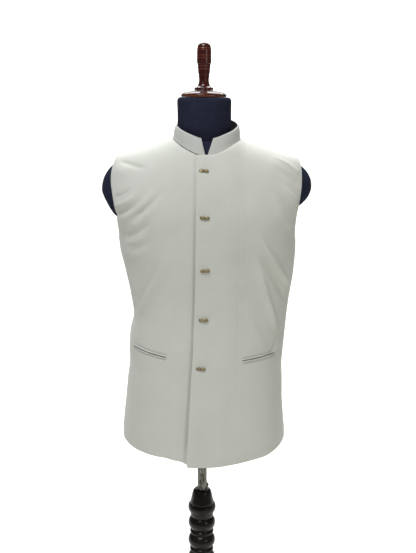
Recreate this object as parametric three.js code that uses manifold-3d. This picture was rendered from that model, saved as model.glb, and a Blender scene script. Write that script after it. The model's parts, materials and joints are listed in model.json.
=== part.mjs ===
// A sleeveless bandhgala jacket, buttoned up on a tailor's dress form with a turned post.
// Millimetres, +Z up. The front faces -Y and the wearer's left is +X.
// The origin is on the floor, in the middle of the round base.

import * as THREE from "three";
import { mergeVertices } from "three/addons/utils/BufferGeometryUtils.js";
import Module from "manifold-3d";

const wasm = await Module();
wasm.setup();

// Driving sizes of the jacket
const HEM_Z = 707;
const UNDERARM_Z = 1188;
const RIDGE_TOP_Z = 1431; // where the two shoulder ridges would meet above the neck
const CLOTH_WALL = 2; // cloth, canvas and lining together
const COLLAR_WALL = 2.6;
const SEAM_GAP = 0.3;
const SECTION_POWER = 2.3; // 2 is an ellipse, more is squarer
const SHOULDER_POWER = 2.2; // how roundly the shoulder turns over at its ridge
const SHOULDER_REACH = 182; // drop below the ridge at which the section has its full depth

// Neckline, collar and armhole
const NECKLINE = { half: 73, front: 87.5, back: 60, centreX: 4.2 };
const COLLAR = { topHalf: 69, topFront: 74, topBack: 54, topShift: 1.4, inset: 0.5, seam: 0.6 };
const NOTCH = { lowHalf: 3.2, topHalf: 13.5 };
const ARMHOLE = { angle: 28.5, tipAngleLeft: 32.5, tipAngleRight: 35.6, roundShare: 0.615 };

// Overlap of the fronts
const OVERLAP_LIFT = 3.5;
const UNDERLAP_X = 15;
const OVERLAP_FADE = { from: 64, to: 108 };
const EDGE_LIFT_WIDTH = 28;

// Pockets and buttons
const JET = { height: 6, wall: 1.2, lift: 0.5, slit: 1 };
const BUTTON = { halfWidth: 10.4, lobe: 5.6, lobeHeight: 3.9, depth: 3.6, lift: 0.5 };

// Dress form, pole and post
const FORM_BOTTOM_Z = 760;
const FORM_RIDGE_DROP = 2.6; // how far the form's shoulders lie under the cloth's outer face
const POLE_RADIUS = 11;
const POLE_BOTTOM_Z = 300;
const POLE_TOP_Z = 899.7;
const FORM_BORE = { radius: 11.6, top: 900 };
const POST_BORE = { radius: 11.6, bottom: 225 };
const POST_FOOT_Z = 35.3;
const BASE_RADIUS = 200;
const BASE_TOP_Z = 35;

const FRONT = -1;
const BACK = 1;
const LEFT = 1;
const RIGHT = -1;

// Level sections of the jacket: middle, half width and the depth to the front and the back
const CLOTH_LEVELS = [
  { z: 700, shift: 3, half: 187, front: 138, back: 140 },
  { z: 746, shift: 3, half: 187, front: 137, back: 139 },
  { z: 786, shift: 2.5, half: 184, front: 135, back: 137 },
  { z: 826, shift: 3, half: 179.5, front: 132, back: 134 },
  { z: 865, shift: 4, half: 177.5, front: 129, back: 129 },
  { z: 904, shift: 6, half: 174.5, front: 126, back: 123 },
  { z: 942, shift: 7, half: 175, front: 123, back: 116 },
  { z: 980, shift: 10, half: 175, front: 120, back: 109 },
  { z: 1018, shift: 15, half: 173, front: 118, back: 105 },
  { z: 1056, shift: 15, half: 177, front: 119, back: 105 },
  { z: 1093, shift: 14, half: 182.6, front: 121.5, back: 107 },
  { z: 1130, shift: 12, half: 188.6, front: 125, back: 111 },
  { z: 1166, shift: 9, half: 194.5, front: 129, back: 115 },
  { z: 1202, shift: 6.7, half: 196.5, front: 131.5, back: 117 },
  { z: 1245, shift: 5.2, half: 209, front: 131, back: 118 },
  { z: 1290, shift: 4.6, half: 224, front: 126, back: 117 },
  { z: 1340, shift: 4.3, half: 230, front: 119.5, back: 118 },
  { z: 1390, shift: 4.2, half: 231, front: 116, back: 121 },
  { z: 1440, shift: 4.2, half: 231, front: 114, back: 122 },
];

// Level sections of the dress form
const FORM_LEVELS = [
  { z: 760, shift: 3, half: 158, front: 110, back: 117 },
  { z: 830, shift: 4, half: 158, front: 109, back: 115 },
  { z: 930, shift: 6, half: 146, front: 105, back: 103 },
  { z: 1018, shift: 9, half: 142, front: 101, back: 92 },
  { z: 1093, shift: 9, half: 158, front: 106, back: 95 },
  { z: 1166, shift: 7, half: 180, front: 117, back: 105 },
  { z: 1202, shift: 6, half: 184, front: 118, back: 108 },
  { z: 1290, shift: 5, half: 187, front: 112, back: 108 },
  { z: 1390, shift: 4.2, half: 187, front: 105, back: 109 },
  { z: 1440, shift: 4.2, half: 187, front: 101, back: 109 },
];

// Height of the shoulder ridge by the distance from the neck's middle
const RIDGE = [
  { x: -20, z: 1428.5 },
  { x: 0, z: 1431 },
  { x: 20, z: 1428.5 },
  { x: 38, z: 1424 },
  { x: 73, z: 1409 },
  { x: 100, z: 1400 },
  { x: 130, z: 1390 },
  { x: 165, z: 1379.5 },
  { x: 200, z: 1369.5 },
  { x: 240, z: 1357 },
];

// How far the hem lies above its lowest level, across the front and across the back
const FRONT_HEM = [
  { x: -190, rise: 26 },
  { x: -150, rise: 18.5 },
  { x: -100, rise: 14.2 },
  { x: -80, rise: 13.8 },
  { x: -60, rise: 10 },
  { x: -45, rise: 7.5 },
  { x: -34, rise: 1 },
  { x: 0, rise: -2 },
  { x: 30, rise: -1.5 },
  { x: 70, rise: 2 },
  { x: 105, rise: 5.5 },
  { x: 140, rise: 9 },
  { x: 165, rise: 15 },
  { x: 196, rise: 25 },
];
const BACK_HEM = [
  { x: -190, rise: 26 },
  { x: -150, rise: 20 },
  { x: 0, rise: 14 },
  { x: 156, rise: 20 },
  { x: 196, rise: 26 },
];
const HEM_FADE = 150; // height over which the rows take up the rise of the hem

// Height of the collar by the turn round the neck in degrees, from the middle of the back
const COLLAR_RISE = [
  { turn: 0, rise: 42.5 },
  { turn: 30, rise: 41 },
  { turn: 60, rise: 35.5 },
  { turn: 90, rise: 27.5 },
  { turn: 120, rise: 27.5 },
  { turn: 150, rise: 32 },
  { turn: 180, rise: 34.5 },
];

// Left front's edge: where it runs, and how far it stands off the front below it
const OVERLAP_EDGE = [
  { z: 700, x: -31.5, stand: 6 },
  { z: 736, x: -31, stand: 5 },
  { z: 854, x: -26, stand: 2.5 },
  { z: 952, x: -21, stand: 1.5 },
  { z: 1049, x: -17.5, stand: 1 },
  { z: 1146, x: -16, stand: 0.7 },
  { z: 1330, x: -16, stand: 0.4 },
  { z: 1382, x: -16, stand: 2.6 },
];

// Largest folds, each from its deep end through its middle to where it dies out
const FOLDS = [
  { side: FRONT, x0: -189, z0: 1300, x1: -171, z1: 1308, x2: -150, z2: 1314, width: 8, height: -2.6 },
  { side: FRONT, x0: -188, z0: 1243, x1: -144, z1: 1277, x2: -88, z2: 1308, width: 9, height: -3.4 },
  { side: FRONT, x0: -181, z0: 1234, x1: -133, z1: 1262, x2: -78, z2: 1313, width: 9, height: 3.2 },
  { side: FRONT, x0: -182, z0: 1221, x1: -144, z1: 1233, x2: -97, z2: 1274, width: 9, height: -3 },
  { side: FRONT, x0: -178, z0: 1200, x1: -142, z1: 1204, x2: -107, z2: 1232, width: 9, height: 2.6 },
  { side: FRONT, x0: -172, z0: 1184, x1: -150, z1: 1189, x2: -128, z2: 1198, width: 8, height: -2.2 },
  { side: FRONT, x0: -160, z0: 1152, x1: -138, z1: 1172, x2: -116, z2: 1194, width: 9, height: 2 },
  { side: FRONT, x0: -137, z0: 1046, x1: -110, z1: 1112, x2: -72, z2: 1178, width: 13, height: 2.6 },
  { side: FRONT, x0: -134, z0: 1014, x1: -122, z1: 1040, x2: -104, z2: 1070, width: 11, height: -2.4 },
  { side: FRONT, x0: 196, z0: 1296, x1: 174, z1: 1314, x2: 146, z2: 1332, width: 9, height: 2.6 },
  { side: FRONT, x0: 194, z0: 1233, x1: 163, z1: 1268, x2: 136, z2: 1308, width: 10, height: 2.6 },
  { side: FRONT, x0: 184, z0: 1078, x1: 150, z1: 1140, x2: 110, z2: 1220, width: 9, height: 3 },
  { side: FRONT, x0: 176, z0: 1046, x1: 155, z1: 1100, x2: 128, z2: 1160, width: 9, height: -3 },
  { side: FRONT, x0: 168, z0: 976, x1: 150, z1: 1044, x2: 114, z2: 1144, width: 11, height: 2.4 },
  { side: BACK, x0: -184, z0: 1222, x1: -146, z1: 1244, x2: -98, z2: 1290, width: 10, height: 2.6 },
  { side: BACK, x0: -176, z0: 1190, x1: -140, z1: 1204, x2: -104, z2: 1236, width: 10, height: -2.6 },
  { side: BACK, x0: 192, z0: 1230, x1: 158, z1: 1262, x2: 124, z2: 1300, width: 10, height: 2.4 },
  { side: BACK, x0: 186, z0: 1174, x1: 150, z1: 1200, x2: 118, z2: 1226, width: 11, height: -2.2 },
  { side: BACK, x0: -146, z0: 1024, x1: -104, z1: 1052, x2: -58, z2: 1064, width: 12, height: 2.6 },
  { side: BACK, x0: 170, z0: 1012, x1: 128, z1: 1036, x2: 74, z2: 1060, width: 12, height: 2.6 },
  { side: BACK, x0: 64, z0: 1000, x1: 84, z1: 1096, x2: 96, z2: 1208, width: 14, height: -2 },
  { side: BACK, x0: -52, z0: 984, x1: -66, z1: 1080, x2: -84, z2: 1184, width: 14, height: -2 },
];

// Slanted pockets, from the inner end to the outer end of the slit
const POCKETS = [
  { name: "right", hand: RIGHT, innerX: -79, innerZ: 947, outerX: -154, outerZ: 957 },
  { name: "left", hand: LEFT, innerX: 85, innerZ: 942, outerX: 158, outerZ: 949 },
];

// Middles of the buttons, how far each is turned in the plane of the front and how deep it sits
const BUTTONS = [
  { x: -0.7, z: 1347, turn: 5, seat: 0.7 },
  { x: 2.3, z: 1254, turn: 6, seat: 0.1 },
  { x: 3.9, z: 1143, turn: -2, seat: 0 },
  { x: 0.9, z: 1034, turn: 1, seat: 0 },
  { x: -3.9, z: 927, turn: 4.5, seat: 0 },
];

// Neck of the dress form
const NECK_RINGS = [
  { z: 1340, x: 3, y: 2, half: 50, depth: 48 },
  { z: 1395, x: 1.5, y: -3, half: 56, depth: 51 },
  { z: 1436, x: -0.5, y: -7, half: 58.5, depth: 53 },
  { z: 1452, x: -1, y: -8, half: 57.5, depth: 52.5 },
  { z: 1485, x: -1.5, y: -10, half: 58, depth: 53 },
  { z: 1492, x: -1.5, y: -10.5, half: 57, depth: 52 },
  { z: 1495.4, x: -1.5, y: -11, half: 54, depth: 49 },
  { z: 1496.5, x: -1.5, y: -11, half: 49.5, depth: 45 },
];

// Colours
const CLOTH_COLOUR = 0xdfe1d8;
const COLLAR_COLOUR = 0xd6d7cc;
const FORM_COLOUR = 0x20232d;
const FINIAL_COLOUR = 0x4a120d;
const POST_COLOUR = 0x1c1310;
const POLE_COLOUR = 0x8f8d85;
const BRASS_COLOUR = 0x8c7843;
const KNOB_COLOUR = 0x17171a;

const clothMaterial = new THREE.MeshStandardMaterial({ color: CLOTH_COLOUR, roughness: 0.75, metalness: 0 });
const collarMaterial = new THREE.MeshStandardMaterial({ color: COLLAR_COLOUR, roughness: 0.75, metalness: 0 });
const formMaterial = new THREE.MeshStandardMaterial({ color: FORM_COLOUR, roughness: 0.9, metalness: 0 });
const finialMaterial = new THREE.MeshStandardMaterial({ color: FINIAL_COLOUR, roughness: 0.2, metalness: 0 });
const postMaterial = new THREE.MeshStandardMaterial({ color: POST_COLOUR, roughness: 0.3, metalness: 0 });
const poleMaterial = new THREE.MeshStandardMaterial({ color: POLE_COLOUR, roughness: 0.45, metalness: 0.8 });
const brassMaterial = new THREE.MeshStandardMaterial({ color: BRASS_COLOUR, roughness: 0.4, metalness: 0.9 });
const knobMaterial = new THREE.MeshStandardMaterial({ color: KNOB_COLOUR, roughness: 0.5, metalness: 0 });

// Small mathematics

const radians = THREE.MathUtils.degToRad;
const smooth = (value, low, high) => THREE.MathUtils.smoothstep(value, low, high);

// Reads one column of a table at a key, on a smooth curve through its rows
function lookUp(rows, keyName, key, column) {
  const last = rows.length - 1;
  if (key <= rows[0][keyName]) return rows[0][column];
  if (key >= rows[last][keyName]) return rows[last][column];
  let row = 0;
  while (key > rows[row + 1][keyName]) row += 1;
  const slopeAt = (index) => {
    const before = rows[Math.max(index - 1, 0)];
    const after = rows[Math.min(index + 1, last)];
    return (after[column] - before[column]) / (after[keyName] - before[keyName]);
  };
  const step = rows[row + 1][keyName] - rows[row][keyName];
  const share = (key - rows[row][keyName]) / step;
  const square = share * share;
  const cube = square * share;
  return (2 * cube - 3 * square + 1) * rows[row][column]
    + (cube - 2 * square + share) * step * slopeAt(row)
    + (3 * square - 2 * cube) * rows[row + 1][column]
    + (cube - square) * step * slopeAt(row + 1);
}

// A signed power, for the squared ellipses of the sections
function signedPower(value, power) {
  return Math.sign(value) * Math.abs(value) ** power;
}

// Share of the full depth at a drop below the shoulder ridge
function shoulderFullness(drop) {
  const share = THREE.MathUtils.clamp(drop / SHOULDER_REACH, 0, 1);
  return (1 - (1 - share) ** SHOULDER_POWER) ** (1 / SHOULDER_POWER);
}

// The drop below the ridge at which the depth has a given share
function dropForFullness(fullness) {
  const rest = 1 - Math.min(fullness, 1) ** SHOULDER_POWER;
  return SHOULDER_REACH * (1 - rest ** (1 / SHOULDER_POWER));
}

const ridgeHeight = (lateral) => lookUp(RIDGE, "x", Math.abs(lateral), "z");

// The body that the jacket's outer face follows, and the form inside it

const CLOTH = { levels: CLOTH_LEVELS, ridgeDrop: 0, split: SEAM_GAP / 2 };
const FORM = { levels: FORM_LEVELS, ridgeDrop: FORM_RIDGE_DROP, split: 0 };

const sizeAt = (body, z, column) => lookUp(body.levels, "z", z, column);
const depthColumn = (side) => (side === FRONT ? "front" : "back");

// Height of a point: level below the underarm, and rising to the ridge above it
function heightAt(body, lateral, level) {
  if (level <= UNDERARM_Z) return level;
  const share = (level - UNDERARM_Z) / (RIDGE_TOP_Z - UNDERARM_Z);
  return UNDERARM_Z + share * (ridgeHeight(lateral) - body.ridgeDrop - UNDERARM_Z);
}

// A point by its angle round the section, which is 0 at the side and 90 degrees at the middle
function sectionPoint(body, side, hand, angle, level) {
  const across = signedPower(Math.cos(angle), 2 / SECTION_POWER);
  const along = Math.abs(Math.sin(angle)) ** (2 / SECTION_POWER);
  let z = level;
  let lateral = 0;
  for (let pass = 0; pass < 8; pass += 1) {
    lateral = hand * sizeAt(body, z, "half") * across;
    z = heightAt(body, lateral, level);
  }
  const fullness = shoulderFullness(ridgeHeight(lateral) - body.ridgeDrop - z);
  const depth = sizeAt(body, z, depthColumn(side)) * fullness * along;
  const x = sizeAt(body, z, "shift") + lateral;
  return new THREE.Vector3(x, side * (depth + body.split), z);
}

// Outward direction of a section's surface, from its slopes along and across
function sectionNormal(body, side, hand, angle, level) {
  const reach = 0.004;
  const climb = 0.5;
  const along = sectionPoint(body, side, hand, angle + reach, level)
    .sub(sectionPoint(body, side, hand, Math.max(angle - reach, 0), level));
  const up = sectionPoint(body, side, hand, angle, Math.min(level + climb, RIDGE_TOP_Z))
    .sub(sectionPoint(body, side, hand, angle, level - climb));
  return along.cross(up).multiplyScalar(side * hand).normalize();
}

// Depth of the jacket's outer face at a place seen from the front
function clothDepth(side, x, z) {
  const lateral = x - sizeAt(CLOTH, z, "shift");
  const share = Math.min(Math.abs(lateral) / sizeAt(CLOTH, z, "half"), 1);
  const along = (1 - share ** SECTION_POWER) ** (1 / SECTION_POWER);
  return sizeAt(CLOTH, z, depthColumn(side)) * shoulderFullness(ridgeHeight(lateral) - z) * along;
}

// Folds

function surfacePoint(side, x, z) {
  return new THREE.Vector3(x, side * (clothDepth(side, x, z) + CLOTH.split), z);
}

const FOLD_STEPS = 8;

// The line of a fold on the cloth, through its three places
function foldPath(fold) {
  const controlX = 2 * fold.x1 - (fold.x0 + fold.x2) / 2;
  const controlZ = 2 * fold.z1 - (fold.z0 + fold.z2) / 2;
  const path = [];
  for (let step = 0; step <= FOLD_STEPS; step += 1) {
    const s = step / FOLD_STEPS;
    const start = (1 - s) ** 2;
    const middle = 2 * s * (1 - s);
    const x = start * fold.x0 + middle * controlX + s * s * fold.x2;
    const z = start * fold.z0 + middle * controlZ + s * s * fold.z2;
    path.push(surfacePoint(fold.side, x, z));
  }
  return path;
}

const FOLD_PATHS = FOLDS.map((fold) => ({ ...fold, path: foldPath(fold) }));

// How far all folds together move a point of the cloth outwards
function foldHeight(point) {
  let total = 0;
  const nearest = new THREE.Vector3();
  for (const fold of FOLD_PATHS) {
    let closest = Infinity;
    let along = 0;
    for (let step = 0; step < FOLD_STEPS; step += 1) {
      const line = new THREE.Line3(fold.path[step], fold.path[step + 1]);
      const share = line.closestPointToPointParameter(point, true);
      line.at(share, nearest);
      const distance = nearest.distanceTo(point);
      if (distance < closest) {
        closest = distance;
        along = (step + share) / FOLD_STEPS;
      }
    }
    const fade = smooth(along, 0, 0.22) * (1 - smooth(along, 0.5, 1));
    total += fold.height * fade * Math.exp(-((closest / fold.width) ** 2));
  }
  return total;
}

// How far the left front lies and stands off the right front
function overlapHeight(point) {
  const edge = lookUp(OVERLAP_EDGE, "z", point.z, "x");
  const stand = lookUp(OVERLAP_EDGE, "z", point.z, "stand");
  const beyond = point.x - edge;
  const lying = OVERLAP_LIFT * (1 - smooth(beyond, OVERLAP_FADE.from, OVERLAP_FADE.to));
  return lying + stand * Math.exp(-((beyond / EDGE_LIFT_WIDTH) ** 2));
}

// Solids from sheets

// Averages the face normals at each point of a sheet that brings no normals of its own
function sheetNormals({ points, faces }) {
  const normals = points.map(() => new THREE.Vector3());
  const first = new THREE.Vector3();
  const second = new THREE.Vector3();
  for (const [a, b, c] of faces) {
    first.subVectors(points[b], points[a]);
    second.subVectors(points[c], points[a]);
    first.cross(second);
    for (const corner of [a, b, c]) normals[corner].add(first);
  }
  return normals.map((normal) => normal.normalize());
}

// Joins the grids of one piece into points that are shared where the grids meet
function joinGrids(grids) {
  const points = [];
  const normals = [];
  const faces = [];
  const known = new Map();
  const indexOf = ({ point, normal }) => {
    const key = [point.x, point.y, point.z].map((value) => value.toFixed(3)).join(" ");
    if (!known.has(key)) {
      known.set(key, points.length);
      points.push(point);
      if (normal) normals.push(normal);
    }
    return known.get(key);
  };
  for (const { rows, flip } of grids) {
    const indices = rows.map((row) => row.map(indexOf));
    for (let row = 0; row + 1 < indices.length; row += 1) {
      for (let column = 0; column + 1 < indices[row].length; column += 1) {
        const a = indices[row][column];
        const b = indices[row][column + 1];
        const c = indices[row + 1][column + 1];
        const d = indices[row + 1][column];
        faces.push(flip ? [a, c, b] : [a, b, c]);
        faces.push(flip ? [a, d, c] : [a, c, d]);
      }
    }
  }
  return { points, faces, normals: normals.length > 0 ? normals : sheetNormals({ points, faces }) };
}

// Gives a sheet its wall, with closed edges all round
function thickened({ points, faces, normals }, wall) {
  const count = points.length;
  const inner = points.map((point, index) => point.clone().addScaledVector(normals[index], -wall));
  const index = [];
  const directed = new Set();
  for (const [a, b, c] of faces) {
    index.push(a, b, c, a + count, c + count, b + count);
    for (const pair of [[a, b], [b, c], [c, a]]) directed.add(pair.join(" "));
  }
  for (const pair of directed) {
    const [a, b] = pair.split(" ").map(Number);
    if (!directed.has(`${b} ${a}`)) index.push(b, a, a + count, b, a + count, b + count);
  }
  const geometry = new THREE.BufferGeometry();
  const coordinates = [...points, ...inner].flatMap((point) => point.toArray());
  geometry.setAttribute("position", new THREE.Float32BufferAttribute(coordinates, 3));
  geometry.setIndex(index);
  return geometry;
}

// Moves the points of a sheet outwards by a height that depends on the place
function displaced(sheet, heightOf) {
  const points = sheet.points.map((point, index) => (
    point.clone().addScaledVector(sheet.normals[index], heightOf(point))
  ));
  return { ...sheet, points };
}

// Neckline and armhole

// Place on the neckline, by its angle from the side (0) to the middle of the front or back (90)
function neckPlace(side, angle) {
  const lateral = NECKLINE.half * Math.cos(angle);
  const wanted = (side === FRONT ? NECKLINE.front : NECKLINE.back) * Math.sin(angle);
  const ridge = ridgeHeight(lateral);
  let z = ridge;
  for (let pass = 0; pass < 8; pass += 1) {
    const share = lateral / sizeAt(CLOTH, z, "half");
    const along = (1 - share ** SECTION_POWER) ** (1 / SECTION_POWER);
    z = ridge - dropForFullness(wanted / (sizeAt(CLOTH, z, depthColumn(side)) * along));
  }
  const share = lateral / sizeAt(CLOTH, z, "half");
  const rise = (z - UNDERARM_Z) / (ridge - UNDERARM_Z);
  return {
    z,
    angle: Math.acos(share ** (SECTION_POWER / 2)),
    level: UNDERARM_Z + rise * (RIDGE_TOP_Z - UNDERARM_Z),
  };
}

// Angle of the armhole's edge on a level: 0 at the underarm, widest from half way up
function armholeAngle(hand, level) {
  if (level <= UNDERARM_Z) return 0;
  const rise = (level - UNDERARM_Z) / (RIDGE_TOP_Z - UNDERARM_Z);
  const full = radians(ARMHOLE.angle);
  if (rise < ARMHOLE.roundShare) {
    return full * Math.sqrt(1 - (1 - rise / ARMHOLE.roundShare) ** 2);
  }
  const tip = (rise - ARMHOLE.roundShare) / (1 - ARMHOLE.roundShare);
  const tipAngle = radians(hand === LEFT ? ARMHOLE.tipAngleLeft : ARMHOLE.tipAngleRight);
  return full + (tipAngle - full) * tip ** 3;
}

// Raises the lowest rows of a panel along the curve of the hem
function raisedLevel(side, hand, angle, level) {
  const { x } = sectionPoint(CLOTH, side, hand, angle, level);
  const rise = lookUp(side === FRONT ? FRONT_HEM : BACK_HEM, "x", x, "rise");
  return level + rise * (1 - smooth(level, HEM_Z, HEM_Z + HEM_FADE));
}

// Levels of the rows of a panel, closer together where the folds are
const LOWER_ROWS = 9;
const CHEST_Z = 1040;
const CHEST_ROWS = 9;
const ARMHOLE_ROWS = 11;
const NECK_ROWS = 7;

function panelLevels(neckLevel) {
  const levels = [];
  for (let row = 0; row < LOWER_ROWS; row += 1) {
    levels.push(HEM_Z + ((CHEST_Z - HEM_Z) * row) / LOWER_ROWS);
  }
  for (let row = 0; row < CHEST_ROWS; row += 1) {
    levels.push(CHEST_Z + ((UNDERARM_Z - CHEST_Z) * row) / CHEST_ROWS);
  }
  for (let row = 0; row <= ARMHOLE_ROWS; row += 1) {
    levels.push(UNDERARM_Z + (neckLevel - UNDERARM_Z) * (row / ARMHOLE_ROWS) ** 1.3);
  }
  return levels;
}

// One half of the front or back, from the middle or front edge out to the side and armhole.
// startAngle gives the angle at which a row that passes below the neckline begins.
function halfPanel(side, hand, columns, startAngle) {
  const middleOfNeck = neckPlace(side, Math.PI / 2);
  const rows = panelLevels(middleOfNeck.level).map((level) => ({ level, start: startAngle(level) }));
  for (let row = 1; row <= NECK_ROWS; row += 1) {
    const place = neckPlace(side, (Math.PI / 2) * (1 - row / NECK_ROWS));
    rows.push({ level: row === NECK_ROWS ? RIDGE_TOP_Z : place.level, start: place.angle });
  }
  const grid = rows.map(({ level, start }) => {
    const end = armholeAngle(hand, level);
    const cells = [];
    for (let column = 0; column <= columns; column += 1) {
      const angle = start + ((end - start) * column) / columns;
      const raised = raisedLevel(side, hand, angle, level);
      const normal = sectionNormal(CLOTH, side, hand, angle, raised);
      const onSeam = level === RIDGE_TOP_Z || (column === columns && level <= UNDERARM_Z);
      if (onSeam) normal.setY(0).normalize(); // keeps the gap of the seam even
      cells.push({ point: sectionPoint(CLOTH, side, hand, angle, raised), normal });
    }
    return cells;
  });
  return { rows: grid, flip: side * hand > 0 };
}

// Angle on a level section of a given place across the front
function angleOfEdge(hand, edgeX, level) {
  const share = (hand * (edgeX - sizeAt(CLOTH, level, "shift"))) / sizeAt(CLOTH, level, "half");
  return Math.acos(signedPower(share, SECTION_POWER / 2));
}

// The cut pieces

const FRONT_COLUMNS = 15;
const BACK_COLUMNS = 10;

function leftFront() {
  const edgeAngle = (level) => angleOfEdge(LEFT, lookUp(OVERLAP_EDGE, "z", level, "x"), level);
  const sheet = joinGrids([halfPanel(FRONT, LEFT, FRONT_COLUMNS, edgeAngle)]);
  return thickened(displaced(sheet, (point) => foldHeight(point) + overlapHeight(point)), CLOTH_WALL);
}

function rightFront() {
  const edgeAngle = (level) => angleOfEdge(RIGHT, UNDERLAP_X, level);
  const sheet = joinGrids([halfPanel(FRONT, RIGHT, FRONT_COLUMNS, edgeAngle)]);
  return thickened(displaced(sheet, foldHeight), CLOTH_WALL);
}

function backPanel() {
  const middle = () => Math.PI / 2;
  const sheet = joinGrids([
    halfPanel(BACK, LEFT, BACK_COLUMNS, middle),
    halfPanel(BACK, RIGHT, BACK_COLUMNS, middle),
  ]);
  return thickened(displaced(sheet, foldHeight), CLOTH_WALL);
}

const COLLAR_COLUMNS = 44;
const COLLAR_ROWS = 3;

// Point of the collar by its turn round the neck (0 at the back, 180 at the front) and its height
function collarPoint(turn, share) {
  const inFront = Math.abs(turn) > Math.PI / 2;
  const side = inFront ? FRONT : BACK;
  const seamAngle = Math.asin(Math.min(Math.abs(Math.cos(turn)), 1));
  const low = new THREE.Vector3(
    (NECKLINE.half - COLLAR.inset) * Math.sin(turn),
    ((inFront ? NECKLINE.front : NECKLINE.back) - COLLAR.inset) * Math.cos(turn),
    neckPlace(side, seamAngle).z + COLLAR.seam,
  );
  const high = new THREE.Vector3(
    COLLAR.topHalf * Math.sin(turn),
    (inFront ? COLLAR.topFront : COLLAR.topBack) * Math.cos(turn),
    low.z + lookUp(COLLAR_RISE, "turn", THREE.MathUtils.radToDeg(Math.abs(turn)), "rise"),
  );
  const point = low.lerp(high, share);
  point.x += NECKLINE.centreX + COLLAR.topShift * share;
  return point;
}

function collar() {
  const rows = [];
  for (let row = 0; row <= COLLAR_ROWS; row += 1) {
    const share = row / COLLAR_ROWS;
    const notch = THREE.MathUtils.lerp(NOTCH.lowHalf, NOTCH.topHalf, share);
    const reach = Math.PI - Math.asin(notch / THREE.MathUtils.lerp(NECKLINE.half, COLLAR.topHalf, share));
    const cells = [];
    for (let column = 0; column <= COLLAR_COLUMNS; column += 1) {
      const turn = reach * ((2 * column) / COLLAR_COLUMNS - 1);
      cells.push({ point: collarPoint(turn, share) });
    }
    rows.push(cells);
  }
  return thickened(joinGrids([{ rows, flip: true }]), COLLAR_WALL);
}

// Outward direction of the cloth at a place seen from the front
function clothNormal(side, x, z) {
  const reach = 1;
  const slopeX = (clothDepth(side, x + reach, z) - clothDepth(side, x - reach, z)) / (2 * reach);
  const slopeZ = (clothDepth(side, x, z + reach) - clothDepth(side, x, z - reach)) / (2 * reach);
  return new THREE.Vector3(-slopeX, side, -slopeZ).normalize();
}

// A point of the worn cloth, folds and overlap counted, moved out by a lift
function wornPoint(hand, x, z, lift) {
  const point = surfacePoint(FRONT, x, z);
  const overlap = hand === LEFT ? overlapHeight(point) : 0;
  const height = foldHeight(point) + overlap + lift;
  return point.addScaledVector(clothNormal(FRONT, x, z), height);
}

const JET_COLUMNS = 8;
const JET_ROWS = 2;

// One folded strip of a pocket, above or below the slit
function pocketJet(pocket, isUpper) {
  const direction = isUpper ? 1 : -1;
  const rows = [];
  for (let row = 0; row <= JET_ROWS; row += 1) {
    const away = direction * (JET.slit / 2 + (JET.height * row) / JET_ROWS);
    const cells = [];
    for (let column = 0; column <= JET_COLUMNS; column += 1) {
      const share = column / JET_COLUMNS;
      const x = THREE.MathUtils.lerp(pocket.innerX, pocket.outerX, share);
      const z = THREE.MathUtils.lerp(pocket.innerZ, pocket.outerZ, share) + away;
      cells.push({ point: wornPoint(pocket.hand, x, z, JET.lift + JET.wall) });
    }
    rows.push(cells);
  }
  return thickened(joinGrids([{ rows, flip: pocket.hand * direction < 0 }]), JET.wall);
}

// Joining and cutting

// Merges a geometry's points, and turns its faces outwards if they point in
function closedGeometry(geometry) {
  const bare = geometry.clone();
  bare.deleteAttribute("normal");
  bare.deleteAttribute("uv");
  const merged = mergeVertices(bare, 1e-4);
  const position = merged.attributes.position;
  const index = Array.from(merged.index.array);
  const kept = [];
  let volume = 0;
  for (let face = 0; face < index.length; face += 3) {
    const [a, b, c] = index.slice(face, face + 3);
    if (a !== b && b !== c && c !== a) {
      const corners = [a, b, c].map((corner) => new THREE.Vector3().fromBufferAttribute(position, corner));
      volume += corners[0].dot(corners[1].cross(corners[2]));
      kept.push(a, b, c);
    }
  }
  if (volume < 0) kept.reverse();
  merged.setIndex(kept);
  return merged;
}

function toSolid(geometry) {
  const closed = closedGeometry(geometry);
  return new wasm.Manifold(new wasm.Mesh({
    numProp: 3,
    vertProperties: new Float32Array(closed.attributes.position.array),
    triVerts: new Uint32Array(closed.index.array),
  }));
}

function fromSolid(solid) {
  const mesh = solid.getMesh();
  const geometry = new THREE.BufferGeometry();
  geometry.setAttribute("position", new THREE.Float32BufferAttribute(mesh.vertProperties, 3));
  geometry.setIndex(Array.from(mesh.triVerts));
  return geometry;
}

// A turned piece that stands upright, from its profile of [radius, height] pairs
function turned(profile, segments) {
  const outline = profile.map(([radius, height]) => new THREE.Vector2(radius, height));
  return new THREE.LatheGeometry(outline, segments).rotateX(Math.PI / 2);
}

// A closed loft through rings of equal length, the first and last closed by flat fans
function lofted(rings, closeTop) {
  const sides = rings[0].length;
  const points = rings.flat();
  const index = [];
  for (let ring = 0; ring + 1 < rings.length; ring += 1) {
    for (let step = 0; step < sides; step += 1) {
      const a = ring * sides + step;
      const b = ring * sides + ((step + 1) % sides);
      index.push(a, b, b + sides, a, b + sides, a + sides);
    }
  }
  const addFan = (ring) => {
    const middle = new THREE.Vector3();
    rings[ring].forEach((point) => middle.addScaledVector(point, 1 / sides));
    points.push(middle);
    for (let step = 0; step < sides; step += 1) {
      const a = ring * sides + step;
      const b = ring * sides + ((step + 1) % sides);
      if (ring === 0) index.push(b, a, points.length - 1);
      else index.push(a, b, points.length - 1);
    }
  };
  addFan(0);
  if (closeTop) addFan(rings.length - 1);
  const geometry = new THREE.BufferGeometry();
  geometry.setAttribute("position", new THREE.Float32BufferAttribute(points.flatMap((point) => point.toArray()), 3));
  geometry.setIndex(index);
  return geometry;
}

// Buttons

const LOBE_SEGMENTS = 10;
const LOBE_RINGS = 6;

function lobe(radiusX, radiusY, radiusZ, x) {
  return new THREE.SphereGeometry(1, LOBE_SEGMENTS, LOBE_RINGS)
    .scale(radiusX, radiusY, radiusZ)
    .translate(x, 0, 0);
}

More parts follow.
